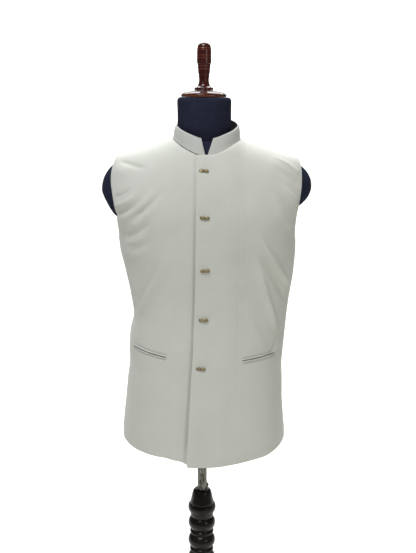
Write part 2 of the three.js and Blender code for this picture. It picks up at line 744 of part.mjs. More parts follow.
// A knotted metal button: two round lobes and a raised middle, flat behind.
// It is made lying on y = 0 with its face towards -Y.
function knotButton() {
  const middleX = BUTTON.halfWidth - BUTTON.lobe;
  const knot = toSolid(lobe(BUTTON.lobe, BUTTON.depth, BUTTON.lobeHeight, -middleX))
    .add(toSolid(lobe(BUTTON.lobe, BUTTON.depth, BUTTON.lobeHeight, middleX)))
    .add(toSolid(lobe(BUTTON.lobe * 0.6, BUTTON.depth * 1.25, BUTTON.lobeHeight * 0.8, 0)));
  const behind = new THREE.BoxGeometry(60, 20, 60).translate(0, 10 + BUTTON.depth * 0.35, 0);
  return fromSolid(knot.subtract(toSolid(behind))).translate(0, -BUTTON.depth * 0.35, 0);
}

function buttonMesh(row, number) {
  const mesh = new THREE.Mesh(knotButton(), brassMaterial);
  mesh.name = `button_${number}`;
  mesh.position.copy(wornPoint(LEFT, row.x, row.z, BUTTON.lift - row.seat));
  const outward = clothNormal(FRONT, row.x, row.z);
  const facing = new THREE.Quaternion().setFromUnitVectors(new THREE.Vector3(0, -1, 0), outward);
  const turning = new THREE.Quaternion().setFromAxisAngle(new THREE.Vector3(0, -1, 0), radians(-row.turn));
  mesh.quaternion.copy(facing).multiply(turning);
  return mesh;
}

// Dress form

const FORM_STEPS = 36;
const FORM_LEVEL_STEPS = 17;
const ARM_CAP = { x: 150, radiusX: 80, radiusY: 57, cutX: 229.6, cutZ: 1295 };
const ARM_CAP_HEIGHTS = [
  { hand: LEFT, z: 1309, radiusZ: 60 },
  { hand: RIGHT, z: 1297, radiusZ: 74 },
];
const ARM_CUT_DEGREES = 27.6; // lean of the cut face of an arm cap from upright

function formTorso() {
  const rings = [];
  for (let row = 0; row <= FORM_LEVEL_STEPS; row += 1) {
    const share = row / FORM_LEVEL_STEPS;
    const eased = share + 0.16 * Math.sin(Math.PI * share);
    const level = THREE.MathUtils.lerp(FORM_BOTTOM_Z, RIDGE_TOP_Z, eased);
    const ring = [];
    for (let step = 0; step < FORM_STEPS; step += 1) {
      const turn = (2 * Math.PI * step) / FORM_STEPS;
      const side = step <= FORM_STEPS / 2 ? BACK : FRONT;
      const hand = Math.cos(turn) >= 0 ? LEFT : RIGHT;
      const angle = Math.acos(Math.min(Math.abs(Math.cos(turn)), 1));
      ring.push(sectionPoint(FORM, side, hand, angle, level));
    }
    rings.push(ring);
  }
  return toSolid(lofted(rings, false));
}

const NECK_STEPS = 28;

function formNeck() {
  const rings = NECK_RINGS.map((row) => {
    const ring = [];
    for (let step = 0; step < NECK_STEPS; step += 1) {
      const turn = (2 * Math.PI * step) / NECK_STEPS;
      const x = row.x + row.half * Math.cos(turn);
      ring.push(new THREE.Vector3(x, row.y + row.depth * Math.sin(turn), row.z));
    }
    return ring;
  });
  return toSolid(lofted(rings, true));
}

// A rounded stub where an arm would begin, cut off by a slanting flat face
function armCap({ hand, z, radiusZ }) {
  const ball = new THREE.SphereGeometry(1, 22, 14).scale(ARM_CAP.radiusX, ARM_CAP.radiusY, radiusZ);
  const blockSize = 300;
  const block = new THREE.BoxGeometry(blockSize, blockSize, blockSize)
    .translate(blockSize / 2, 0, 0)
    .rotateY(radians(ARM_CUT_DEGREES))
    .translate(ARM_CAP.cutX - ARM_CAP.x, 0, ARM_CAP.cutZ - z);
  const cap = toSolid(ball).subtract(toSolid(block));
  const shift = sizeAt(FORM, z, "shift");
  const geometry = fromSolid(cap);
  if (hand === RIGHT) geometry.scale(-1, 1, 1);
  return toSolid(geometry.translate(shift + hand * ARM_CAP.x, 0, z));
}

function formBody() {
  const boreLength = FORM_BORE.top - FORM_BOTTOM_Z + 20;
  const bore = new THREE.CylinderGeometry(FORM_BORE.radius, FORM_BORE.radius, boreLength, 24)
    .rotateX(Math.PI / 2)
    .translate(0, 0, FORM_BORE.top - boreLength / 2);
  const caps = ARM_CAP_HEIGHTS.map(armCap);
  return fromSolid(formTorso()
    .add(formNeck())
    .add(caps[0])
    .add(caps[1])
    .subtract(toSolid(bore)));
}

// Turned cap on the neck, from its flange up to the grip
const FINIAL_Z = 1496.8;
const FINIAL_X = -2.5;
const FINIAL_Y = -11;
const FINIAL_PROFILE = [
  [0, 0], [47, 0], [49, 2.5], [48.5, 5.5], [44, 9], [34, 12], [22, 14], [19.8, 16], [19.8, 19], [17, 20.5],
  [14, 23], [11.6, 28], [10.6, 34], [11.6, 46], [12.1, 48], [13.2, 58], [14.2, 67], [15.2, 70],
  [15.4, 86], [15.2, 98], [14.4, 103], [12, 108.5], [7, 111.8], [0, 112.8],
];

// Post: a socket with a round shoulder, a ring, three beads and a plain column to the foot
const BEAD = { topZ: 497, pitch: 46.6, count: 3, radius: 32.2, curve: 21, spread: 50, steps: 5, waist: 27 };
const SOCKET_PROFILE = [
  [27.6, 549.5], [26.3, 556], [24.2, 567], [22.6, 575], [19, 581], [14, 583.5], [POST_BORE.radius, 583.5],
];
const RING_PROFILE = [
  [27.4, 518], [28.2, 525], [29.6, 528], [32, 532], [32.8, 538], [32, 543.5], [29.6, 546.5], [27, 547.5],
];
const COLUMN_PROFILE = [
  [0, POST_FOOT_Z], [46, POST_FOOT_Z], [46, 42], [40, 52], [36, 60], [36, 66], [31, 72], [28, 84], [26, 120],
  [22.5, 250], [21, 350], [22, 364], [26, 368], [26, 374], [23.5, 378],
];

function postProfile() {
  const beads = [];
  for (let bead = BEAD.count - 1; bead >= 0; bead -= 1) {
    const middle = BEAD.topZ - bead * BEAD.pitch;
    for (let step = 0; step <= BEAD.steps; step += 1) {
      const angle = radians(BEAD.spread * ((2 * step) / BEAD.steps - 1));
      const radius = BEAD.radius - BEAD.curve * (1 - Math.cos(angle));
      beads.push([radius, middle + BEAD.curve * Math.sin(angle)]);
    }
    if (bead > 0) beads.push([BEAD.waist, middle + BEAD.pitch / 2]);
  }
  const bore = [[POST_BORE.radius, POST_BORE.bottom], [0, POST_BORE.bottom]];
  return [...COLUMN_PROFILE, ...beads, ...RING_PROFILE, ...SOCKET_PROFILE, ...bore];
}

// Clamp screw in the back of the socket
const CLAMP = { z: 574, turn: 4.8, screwRadius: 3.5, holeRadius: 4, tip: 11.5, knobFrom: 29, knobTo: 41 };
const KNOB = { radius: 11.6, wave: 0.9, lobes: 6, points: 36 };

// Places a solid that points along +Z so that it points out of the socket's back
function alongClamp(geometry) {
  return geometry.rotateX(-Math.PI / 2).rotateZ(-radians(CLAMP.turn)).translate(0, 0, CLAMP.z);
}

function post() {
  const hole = new THREE.CylinderGeometry(CLAMP.holeRadius, CLAMP.holeRadius, 40, 16)
    .rotateX(Math.PI / 2)
    .translate(0, 0, 20);
  return fromSolid(toSolid(turned(postProfile(), 20)).subtract(toSolid(alongClamp(hole))));
}

function clampKnob() {
  const outline = new THREE.Shape();
  for (let step = 0; step < KNOB.points; step += 1) {
    const angle = (2 * Math.PI * step) / KNOB.points;
    const radius = KNOB.radius + KNOB.wave * Math.cos(KNOB.lobes * angle);
    const x = radius * Math.cos(angle);
    const y = radius * Math.sin(angle);
    if (step === 0) outline.moveTo(x, y);
    else outline.lineTo(x, y);
  }
  outline.closePath();
  const head = new THREE.ExtrudeGeometry(outline, { depth: CLAMP.knobTo - CLAMP.knobFrom, bevelEnabled: false })
    .translate(0, 0, CLAMP.knobFrom);
  const screwLength = CLAMP.knobFrom + 2 - CLAMP.tip;
  const screw = new THREE.CylinderGeometry(CLAMP.screwRadius, CLAMP.screwRadius, screwLength, 16)
    .rotateX(Math.PI / 2)
    .translate(0, 0, CLAMP.tip + screwLength / 2);
  return alongClamp(fromSolid(toSolid(head).add(toSolid(screw))));
}

function pole() {
  const length = POLE_TOP_Z - POLE_BOTTOM_Z;
  return new THREE.CylinderGeometry(POLE_RADIUS, POLE_RADIUS, length, 24)
    .rotateX(Math.PI / 2)
    .translate(0, 0, POLE_BOTTOM_Z + length / 2);
}

const BASE_PROFILE = [
  [0, 0], [BASE_RADIUS - 4, 0], [BASE_RADIUS, 4], [BASE_RADIUS, 15], [BASE_RADIUS - 7, 21],
  [BASE_RADIUS - 60, 28], [70, BASE_TOP_Z], [0, BASE_TOP_Z],
];

// The whole object

const group = new THREE.Group();

function addPiece(name, geometry, material) {
  const mesh = new THREE.Mesh(closedGeometry(geometry), material);
  mesh.name = name;
  group.add(mesh);
  return mesh;
}

addPiece("front_right", rightFront(), clothMaterial);
addPiece("front_left", leftFront(), clothMaterial);
addPiece("back", backPanel(), clothMaterial);
addPiece("collar", collar(), collarMaterial);
for (const pocket of POCKETS) {
  addPiece(`pocket_jet_${pocket.name}_upper`, pocketJet(pocket, true), clothMaterial);
  addPiece(`pocket_jet_${pocket.name}_lower`, pocketJet(pocket, false), clothMaterial);
}
BUTTONS.forEach((row, index) => group.add(buttonMesh(row, index + 1)));
addPiece("form_body", formBody(), formMaterial);
addPiece("neck_finial", turned(FINIAL_PROFILE, 20), finialMaterial).position.set(FINIAL_X, FINIAL_Y, FINIAL_Z);
addPiece("pole", pole(), poleMaterial);
addPiece("clamp_knob", clampKnob(), knobMaterial);
addPiece("post", post(), postMaterial);
addPiece("base", turned(BASE_PROFILE, 36), postMaterial);

export default group;
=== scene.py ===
# A sleeveless bandhgala jacket on a dress form with a turned post.
# The tables are in millimetres, +Z up; the front faces -Y and the wearer's left is +X.

import json
import math

import bmesh
import bpy
import numpy as np
from mathutils import Matrix, Vector
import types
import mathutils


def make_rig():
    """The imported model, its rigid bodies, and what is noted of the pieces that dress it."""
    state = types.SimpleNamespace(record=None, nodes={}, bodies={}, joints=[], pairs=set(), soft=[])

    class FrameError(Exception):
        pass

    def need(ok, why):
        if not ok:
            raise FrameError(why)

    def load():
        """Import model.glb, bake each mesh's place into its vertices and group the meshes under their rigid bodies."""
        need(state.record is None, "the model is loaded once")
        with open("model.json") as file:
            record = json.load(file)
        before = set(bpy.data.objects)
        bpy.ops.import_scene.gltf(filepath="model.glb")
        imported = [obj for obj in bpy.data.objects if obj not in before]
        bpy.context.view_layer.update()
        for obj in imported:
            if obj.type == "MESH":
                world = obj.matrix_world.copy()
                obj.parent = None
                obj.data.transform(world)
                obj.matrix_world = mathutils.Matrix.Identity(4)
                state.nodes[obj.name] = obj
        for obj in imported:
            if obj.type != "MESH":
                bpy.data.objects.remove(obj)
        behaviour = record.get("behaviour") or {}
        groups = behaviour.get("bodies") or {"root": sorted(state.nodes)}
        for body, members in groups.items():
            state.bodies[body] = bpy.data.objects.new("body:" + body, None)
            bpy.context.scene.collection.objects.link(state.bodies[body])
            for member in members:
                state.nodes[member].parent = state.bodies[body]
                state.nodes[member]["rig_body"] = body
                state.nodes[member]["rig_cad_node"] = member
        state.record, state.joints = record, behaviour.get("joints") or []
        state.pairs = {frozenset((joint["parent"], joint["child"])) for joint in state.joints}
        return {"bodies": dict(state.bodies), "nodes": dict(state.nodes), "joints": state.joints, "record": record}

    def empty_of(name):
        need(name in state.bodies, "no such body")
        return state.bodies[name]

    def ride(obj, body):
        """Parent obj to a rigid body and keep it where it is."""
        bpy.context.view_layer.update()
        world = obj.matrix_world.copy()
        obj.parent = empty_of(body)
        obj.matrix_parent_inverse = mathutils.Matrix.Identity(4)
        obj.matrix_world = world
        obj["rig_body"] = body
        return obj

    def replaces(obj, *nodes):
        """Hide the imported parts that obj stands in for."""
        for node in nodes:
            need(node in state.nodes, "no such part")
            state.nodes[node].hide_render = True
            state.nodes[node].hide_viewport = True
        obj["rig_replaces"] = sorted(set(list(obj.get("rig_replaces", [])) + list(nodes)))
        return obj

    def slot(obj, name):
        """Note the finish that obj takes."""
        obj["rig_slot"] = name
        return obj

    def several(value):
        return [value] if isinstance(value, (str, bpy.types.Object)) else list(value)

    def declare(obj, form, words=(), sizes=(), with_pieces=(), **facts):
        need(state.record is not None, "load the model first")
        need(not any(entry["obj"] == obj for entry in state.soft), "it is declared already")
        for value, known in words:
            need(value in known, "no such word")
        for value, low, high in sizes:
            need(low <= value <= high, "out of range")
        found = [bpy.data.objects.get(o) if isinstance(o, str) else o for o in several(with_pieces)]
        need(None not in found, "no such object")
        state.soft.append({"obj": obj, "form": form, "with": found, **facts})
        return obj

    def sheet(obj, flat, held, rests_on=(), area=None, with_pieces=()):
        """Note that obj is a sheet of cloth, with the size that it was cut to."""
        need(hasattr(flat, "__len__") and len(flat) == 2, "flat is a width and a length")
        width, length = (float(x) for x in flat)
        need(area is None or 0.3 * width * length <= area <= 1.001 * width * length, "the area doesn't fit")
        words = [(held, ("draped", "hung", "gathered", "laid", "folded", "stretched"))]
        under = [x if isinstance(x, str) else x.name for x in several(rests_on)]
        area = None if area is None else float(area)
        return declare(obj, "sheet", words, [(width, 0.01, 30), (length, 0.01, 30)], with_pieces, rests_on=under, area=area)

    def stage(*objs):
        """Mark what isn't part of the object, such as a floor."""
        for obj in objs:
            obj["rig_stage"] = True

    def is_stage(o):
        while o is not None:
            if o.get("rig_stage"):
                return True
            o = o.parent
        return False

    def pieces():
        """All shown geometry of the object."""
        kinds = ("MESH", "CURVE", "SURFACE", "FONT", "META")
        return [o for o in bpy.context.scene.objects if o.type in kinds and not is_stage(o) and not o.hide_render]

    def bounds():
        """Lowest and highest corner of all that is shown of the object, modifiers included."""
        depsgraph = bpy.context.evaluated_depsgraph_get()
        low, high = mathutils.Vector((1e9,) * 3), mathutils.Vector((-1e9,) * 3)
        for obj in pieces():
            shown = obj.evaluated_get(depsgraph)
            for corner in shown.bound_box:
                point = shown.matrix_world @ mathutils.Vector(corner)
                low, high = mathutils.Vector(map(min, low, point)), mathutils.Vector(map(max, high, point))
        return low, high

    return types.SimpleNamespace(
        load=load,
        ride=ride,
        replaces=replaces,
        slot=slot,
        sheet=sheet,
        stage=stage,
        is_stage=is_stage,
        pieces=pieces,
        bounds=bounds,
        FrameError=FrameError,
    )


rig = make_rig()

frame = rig.load()
SIZE_AT_LOAD = [list(corner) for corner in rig.bounds()]

MM = 0.001
FRONT = -1
BACK = 1
LEFT = 1
RIGHT = -1


# Camera

def make_camera():
    data = bpy.data.cameras.new("camera")
    data.sensor_width = 36
    data.lens = 52.73
    camera = bpy.data.objects.new("camera", data)
    bpy.context.scene.collection.objects.link(camera)
    tilt = Matrix.Rotation(math.radians(90 - 12.6), 4, "X") @ Matrix.Rotation(math.radians(0.5), 4, "Z")
    camera.matrix_world = Matrix.Translation((0.0097, -1.780, 1.500)) @ tilt
    bpy.context.scene.camera = camera


make_camera()
bpy.context.scene.view_settings.view_transform = "Standard"


# Driving sizes, as in the part

HEM_Z = 707
UNDERARM_Z = 1188
RIDGE_TOP_Z = 1431
CLOTH_WALL = 2
COLLAR_WALL = 2.6
SEAM_GAP = 0.3
SECTION_POWER = 2.3
SHOULDER_POWER = 2.2
SHOULDER_REACH = 182
NECK_HALF, NECK_FRONT, NECK_BACK, NECK_CENTRE_X = 73, 87.5, 60, 4.2
COLLAR_TOP_HALF, COLLAR_TOP_FRONT, COLLAR_TOP_BACK, COLLAR_TOP_SHIFT = 69, 74, 54, 1.4
COLLAR_INSET, COLLAR_SEAM = 0.5, 0.6
NOTCH_LOW_HALF, NOTCH_TOP_HALF = 3.2, 13.5
ARMHOLE_ANGLE, ARMHOLE_ROUND_SHARE = 28.5, 0.615
ARMHOLE_TIP_ANGLES = {LEFT: 32.5, RIGHT: 35.6}
HEM_FADE = 150
OVERLAP_LIFT, UNDERLAP_X, OVERLAP_FADE_FROM, OVERLAP_FADE_TO = 3.5, 15, 64, 108
EDGE_LIFT_WIDTH = 28
FORM_BOTTOM_Z, FORM_DROP = 760, 2.6
BORE_RADIUS = 11.6


def table(names, *rows):
    """A table with named columns."""
    return dict(zip(names.split(), np.array(rows, float).T))


CLOTH_LEVELS = table(
    "z shift half front back",
    (700, 3, 187, 138, 140), (746, 3, 187, 137, 139), (786, 2.5, 184, 135, 137),
    (826, 3, 179.5, 132, 134), (865, 4, 177.5, 129, 129), (904, 6, 174.5, 126, 123),
    (942, 7, 175, 123, 116), (980, 10, 175, 120, 109), (1018, 15, 173, 118, 105),
    (1056, 15, 177, 119, 105), (1093, 14, 182.6, 121.5, 107), (1130, 12, 188.6, 125, 111),
    (1166, 9, 194.5, 129, 115), (1202, 6.7, 196.5, 131.5, 117), (1245, 5.2, 209, 131, 118),
    (1290, 4.6, 224, 126, 117), (1340, 4.3, 230, 119.5, 118), (1390, 4.2, 231, 116, 121),
    (1440, 4.2, 231, 114, 122),
)

FORM_LEVELS = table(
    "z shift half front back",
    (760, 3, 158, 110, 117), (830, 4, 158, 109, 115), (930, 6, 146, 105, 103),
    (1018, 9, 142, 101, 92), (1093, 9, 158, 106, 95), (1166, 7, 180, 117, 105),
    (1202, 6, 184, 118, 108), (1290, 5, 187, 112, 108), (1390, 4.2, 187, 105, 109),
    (1440, 4.2, 187, 101, 109),
)

RIDGE = table(
    "x z",
    (-20, 1428.5), (0, 1431), (20, 1428.5), (38, 1424), (73, 1409), (100, 1400), (130, 1390),
    (165, 1379.5), (200, 1369.5), (240, 1357),
)

FRONT_HEM = table(
    "x rise",
    (-190, 26), (-150, 18.5), (-100, 14.2), (-80, 13.8), (-60, 10), (-45, 7.5), (-34, 1), (0, -2),
    (30, -1.5), (70, 2), (105, 5.5), (140, 9), (165, 15), (196, 25),
)

BACK_HEM = table("x rise", (-190, 26), (-150, 20), (0, 14), (156, 20), (196, 26))

COLLAR_RISE = table(
    "turn rise",
    (0, 42.5), (30, 41), (60, 35.5), (90, 27.5), (120, 27.5), (150, 32), (180, 34.5),
)

OVERLAP_EDGE = table(
    "z x stand",
    (700, -31.5, 6), (736, -31, 5), (854, -26, 2.5), (952, -21, 1.5), (1049, -17.5, 1),
    (1146, -16, 0.7), (1330, -16, 0.4), (1382, -16, 2.6),
)

# Folds of the cloth: deep end, middle and fading end in x and z, then width and height
FRONT_FOLDS = [
    (-196, 1343, -174, 1340, -146, 1334, 16, 3), (-184, 1362, -150, 1354, -116, 1347, 5.5, -2),
    (-193, 1285, -170, 1296, -146, 1311, 4.5, -2.7), (-195, 1270, -165, 1279, -136, 1306, 5.5, 3.9),
    (-196, 1247, -158, 1265, -132, 1298, 6.5, -4.8), (-176, 1240, -134, 1270, -98, 1316, 7, 4.2),
    (-148, 1248, -108, 1281, -70, 1332, 5.5, -3.3), (-160, 1226, -120, 1252, -84, 1296, 8, 3.3),
    (-178, 1202, -138, 1219, -104, 1248, 6.5, -3.2), (-172, 1190, -138, 1200, -106, 1224, 6, 2.6),
    (-156, 1174, -131, 1186, -104, 1206, 5, -1.5), (-168, 1188, -161, 1216, -155, 1242, 3, 0.9),
    (-160, 1152, -138, 1170, -114, 1192, 7, 1.8), (-142, 1034, -98, 1116, -66, 1190, 11, 4.6),
    (-154, 1032, -116, 1108, -86, 1168, 8, -4), (-134, 1014, -122, 1040, -104, 1070, 11, -1.2),
    (204, 1336, 180, 1357, 138, 1379, 4.5, 3), (202, 1310, 177, 1334, 136, 1360, 8, -2.2),
    (200, 1276, 180, 1298, 146, 1326, 7, 3.9), (198, 1256, 176, 1278, 148, 1304, 5.5, -2.8),
    (170, 1264, 149, 1289, 130, 1306, 3.5, 2.2), (192, 1226, 166, 1250, 138, 1284, 8, 2.1),
    (192, 1092, 147, 1161, 104, 1232, 7, 7.5), (182, 1060, 147, 1126, 110, 1184, 7, -7.5),
    (164, 990, 136, 1082, 103, 1196, 8, 6.8), (146, 950, 112, 1010, 84, 1090, 9, 2.2),
    (184, 1120, 168, 1152, 148, 1190, 6.5, -1.8), (152, 948, 162, 959, 178, 986, 3.5, 2.4),
    (146, 952, 155, 965, 170, 994, 3.5, -2), (-8, 1208, 14, 1199, 36, 1206, 6, -0.9),
    (-12, 1240, 6, 1228, 26, 1233, 7, 0.8), (-10, 1100, 16, 1092, 40, 1098, 7, -0.7),
    (-8, 986, 20, 976, 48, 982, 8, -0.7), (-18, 872, 10, 858, 40, 866, 10, -0.8),
    (118, 908, 140, 902, 160, 912, 9, -0.8), (90, 890, 124, 880, 156, 892, 12, 0.8),
    (-100, 916, -124, 908, -148, 918, 10, -0.8), (-60, 840, -96, 826, -132, 838, 14, 0.8),
]
BACK_FOLDS = [
    (-184, 1222, -146, 1244, -98, 1290, 10, 2.6), (-176, 1190, -140, 1204, -104, 1236, 10, -2.6),
    (192, 1230, 158, 1262, 124, 1300, 10, 2.4), (186, 1174, 150, 1200, 118, 1226, 11, -2.2),
    (-146, 1024, -104, 1052, -58, 1064, 12, 2.6), (170, 1012, 128, 1036, 74, 1060, 12, 2.6),
    (64, 1000, 84, 1096, 96, 1208, 14, -2), (-52, 984, -66, 1080, -84, 1184, 14, -2),
    (-186, 1262, -164, 1278, -138, 1288, 6, -1.8), (-190, 1286, -170, 1296, -146, 1304, 6, 1.6),
    (-172, 1160, -148, 1172, -120, 1178, 7, 1.6), (190, 1200, 166, 1222, 142, 1236, 6, 1.8),
    (196, 1262, 172, 1284, 146, 1306, 6, -1.8), (178, 1142, 156, 1158, 130, 1166, 8, -1.4),
    (-160, 1046, -124, 1076, -84, 1084, 8, -1.8), (176, 1040, 140, 1062, 96, 1080, 8, -1.8),
    (-150, 1000, -110, 1020, -70, 1022, 8, -1.4), (168, 986, 132, 1004, 92, 1012, 8, -1.5),
    (-60, 1366, -88, 1340, -112, 1320, 9, -1.2), (66, 1368, 92, 1344, 118, 1330, 9, -1.2),
    (-20, 900, -34, 860, -38, 800, 14, 1.2), (30, 890, 44, 840, 46, 780, 14, 1),
]
FOLDS = [(FRONT, *fold) for fold in FRONT_FOLDS] + [(BACK, *fold) for fold in BACK_FOLDS]

TROUGH = table(
    "z width depth",
    (707, 12, 4.5), (760, 11, 4.5), (900, 9, 4.5), (1000, 8.5, 4.2), (1200, 9, 3.4), (1320, 8, 2.6),
    (1375, 7, 0.6), (1400, 7, 0),
)

POCKETS = [
    ("right", RIGHT, -79, 947, -154, 957),
    ("left", LEFT, 85, 942, 158, 949),
]
JET_WALL, JET_SLIT = 1.2, 1.2
UPPER_DITCH, LOWER_DITCH, DITCH_WIDTH, DITCH_DEPTH = 4.3, 6.8, 1.8, 1.3
POCKET_ROWS_AT = 240

# Buttons: middle, turn in the plane of the front, depth of the seat
BUTTONS = [
    (-0.7, 1347, 5, 0.7),
    (2.3, 1254, 6, 0.1),
    (3.9, 1143, -2, 0),
    (0.9, 1034, 1, 0),
    (-3.9, 927, 4.5, 0),
]

# Dart lines of the fronts, from the chest down
LEFT_DART = table("z x", (700, 74), (942, 75), (1140, 74), (1340, 75))
RIGHT_DART = table("z x", (700, -66), (849, -66), (1061, -58), (1204, -70), (1340, -76))
BACK_DART = table("z x", (700, 66), (900, 70), (1018, 74), (1150, 84), (1340, 92))
DART_TOP_Z = 1300


# Small mathematics

def look_up(rows, key_name, key, column):
    """Reads one column of a table at a key, on a smooth curve through its rows."""
    keys = rows[key_name]
    values = rows[column]
    last = len(keys) - 1
    key = np.clip(np.asarray(key, float), keys[0], keys[last])
    row = np.clip(np.searchsorted(keys, key, side="left") - 1, 0, last - 1)
    places = np.arange(last + 1)
    before = np.maximum(places - 1, 0)
    after = np.minimum(places + 1, last)
    slopes = (values[after] - values[before]) / (keys[after] - keys[before])
    step = keys[row + 1] - keys[row]
    share = (key - keys[row]) / step
    square = share * share
    cube = square * share
    return (
        (2 * cube - 3 * square + 1) * values[row]
        + (cube - 2 * square + share) * step * slopes[row]
        + (3 * square - 2 * cube) * values[row + 1]
        + (cube - square) * step * slopes[row + 1]
    )


def smooth(value, low, high):
    share = np.clip((np.asarray(value, float) - low) / (high - low), 0, 1)
    return share * share * (3 - 2 * share)


def signed_power(value, power):
    return np.sign(value) * np.abs(value) ** power


def full_turn(count):
    return 2 * np.pi * np.arange(count) / count


def unit(vectors):
    return vectors / np.maximum(np.linalg.norm(vectors, axis=-1, keepdims=True), 1e-12)


def ridge_height(lateral):
    return look_up(RIDGE, "x", np.abs(lateral), "z")


def shoulder_fullness(drop):
    share = np.clip(drop / SHOULDER_REACH, 0, 1)
    return (1 - (1 - share) ** SHOULDER_POWER) ** (1 / SHOULDER_POWER)


def drop_for_fullness(fullness):
    rest = 1 - np.minimum(fullness, 1) ** SHOULDER_POWER
    return SHOULDER_REACH * (1 - rest ** (1 / SHOULDER_POWER))


# Sections: the jacket's outer face, and the dress form inside it

CLOTH = {"levels": CLOTH_LEVELS, "drop": 0, "split": SEAM_GAP / 2}
FORM = {"levels": FORM_LEVELS, "drop": FORM_DROP, "split": 0}


def size_at(body, z, column):
    return look_up(body["levels"], "z", z, column)


def depth_column(side):
    return "front" if side == FRONT else "back"


def height_at(body, lateral, level):
    share = (level - UNDERARM_Z) / (RIDGE_TOP_Z - UNDERARM_Z)
    raised = UNDERARM_Z + share * (ridge_height(lateral) - body["drop"] - UNDERARM_Z)
    return np.where(level <= UNDERARM_Z, level, raised)


def section_point(body, side, hand, angle, level):
    angle, level = np.broadcast_arrays(np.asarray(angle, float), np.asarray(level, float))
    across = signed_power(np.cos(angle), 2 / SECTION_POWER)
    along = np.abs(np.sin(angle)) ** (2 / SECTION_POWER)
    z = level
    for _ in range(8):
        lateral = hand * size_at(body, z, "half") * across
        z = height_at(body, lateral, level)
    fullness = shoulder_fullness(ridge_height(lateral) - body["drop"] - z)
    depth = size_at(body, z, depth_column(side)) * fullness * along
    x = size_at(body, z, "shift") + lateral
    return np.stack([x, side * (depth + body["split"]), z], axis=-1)


def section_normal(body, side, hand, angle, level):
    reach = 0.004
    climb = 0.5
    along = section_point(body, side, hand, angle + reach, level) - section_point(
        body, side, hand, np.maximum(angle - reach, 0), level
    )
    up = section_point(body, side, hand, angle, np.minimum(level + climb, RIDGE_TOP_Z)) - section_point(
        body, side, hand, angle, level - climb
    )
    return unit(np.cross(along, up) * side * hand)


def cloth_depth(side, x, z):
    lateral = x - size_at(CLOTH, z, "shift")
    share = np.minimum(np.abs(lateral) / size_at(CLOTH, z, "half"), 1)
    along = (1 - share**SECTION_POWER) ** (1 / SECTION_POWER)
    return size_at(CLOTH, z, depth_column(side)) * shoulder_fullness(ridge_height(lateral) - z) * along


def surface_point(side, x, z):
    x, z = np.broadcast_arrays(np.asarray(x, float), np.asarray(z, float))
    return np.stack([x, side * (cloth_depth(side, x, z) + CLOTH["split"]), z], axis=-1)


def cloth_normal(side, x, z):
    slope_x = (cloth_depth(side, x + 1, z) - cloth_depth(side, x - 1, z)) / 2
    slope_z = (cloth_depth(side, x, z + 1) - cloth_depth(side, x, z - 1)) / 2
    return unit(np.stack([-slope_x, np.full_like(slope_x, side), -slope_z], axis=-1))


# Relief of the cloth

def distance_to_path(points, path):
    """Distance of each point to a path of 3-D places, and how far along the nearest place is."""
    best = np.full(points.shape[:-1], np.inf)
    along = np.zeros(points.shape[:-1])
    steps = len(path) - 1
    for step in range(steps):
        start = path[step]
        line = path[step + 1] - start
        share = np.clip(((points - start) @ line) / (line @ line), 0, 1)
        distance = np.linalg.norm(points - start - share[..., None] * line, axis=-1)
        nearer = distance < best
        best = np.where(nearer, distance, best)
        along = np.where(nearer, (step + share) / steps, along)
    return best, along


def fold_path(fold):
    side, x0, z0, x1, z1, x2, z2 = fold[:7]
    s = np.linspace(0, 1, 9)
    control_x = 2 * x1 - (x0 + x2) / 2
    control_z = 2 * z1 - (z0 + z2) / 2
    start = (1 - s) ** 2
    middle = 2 * s * (1 - s)
    x = start * x0 + middle * control_x + s * s * x2
    z = start * z0 + middle * control_z + s * s * z2
    return surface_point(side, x, z)


def fold_height(points, folds):
    total = np.zeros(points.shape[:-1])
    for fold in folds:
        width, height = fold[7:]
        path = fold_path(fold)
        near = np.abs(points[..., 1] - path[:, 1].mean()) < 160
        if not near.any():
            continue
        closest, along = distance_to_path(points[near], path)
        fade = smooth(along, 0, 0.22) * (1 - smooth(along, 0.5, 1))
        total[near] += height * fade * np.exp(-((closest / width) ** 2))
    return total


def overlap_height(points):
    edge = look_up(OVERLAP_EDGE, "z", points[..., 2], "x")
    stand = look_up(OVERLAP_EDGE, "z", points[..., 2], "stand")
    beyond = points[..., 0] - edge
    lying = OVERLAP_LIFT * (1 - smooth(beyond, OVERLAP_FADE_FROM, OVERLAP_FADE_TO))
    return lying + stand * np.exp(-((beyond / EDGE_LIFT_WIDTH) ** 2))


# Slow waves that no pressing takes out: direction per metre, phase and height
WAVES = [
    (31, 12, 9, 0.3, 0.26), (-17, 21, 26, 1.9, 0.22), (52, -14, 17, 4.1, 0.16),
    (24, 33, -41, 2.6, 0.14), (-63, 18, 29, 0.9, 0.1), (71, 27, 48, 5.2, 0.08),
    (-38, -44, 66, 3.3, 0.08),
]


def waviness(points):
    total = np.zeros(points.shape[:-1])
    for kx, ky, kz, phase, height in WAVES:
        total += height * np.sin((points @ np.array([kx, ky, kz])) * MM * 2 + phase)
    return total


def dart_table(side, hand):
    if side == BACK:
        return BACK_DART, hand
    return (LEFT_DART, 1) if hand == LEFT else (RIGHT_DART, 1)


def dart_path(side, hand):
    rows, sign = dart_table(side, hand)
    z = np.linspace(HEM_Z, DART_TOP_Z, 40)
    return surface_point(side, sign * look_up(rows, "z", z, "x"), z)


def seam_dip(distance, depth, width):
    return -depth * np.exp(-((distance / width) ** 2))


def dart_relief(points):
    total = np.zeros(points.shape[:-1])
    for side in (FRONT, BACK):
        for hand in (LEFT, RIGHT):
            on_side = (points[..., 1] * side > 0) & (np.abs(points[..., 0]) < 130)
            if not on_side.any():
                continue
            distance, along = distance_to_path(points[on_side], dart_path(side, hand))
            fade = 1 - smooth(along, 0.93, 1)
            total[on_side] += fade * (seam_dip(distance, 0.4, 1.8) - seam_dip(distance, 0.35, 9))
    return total


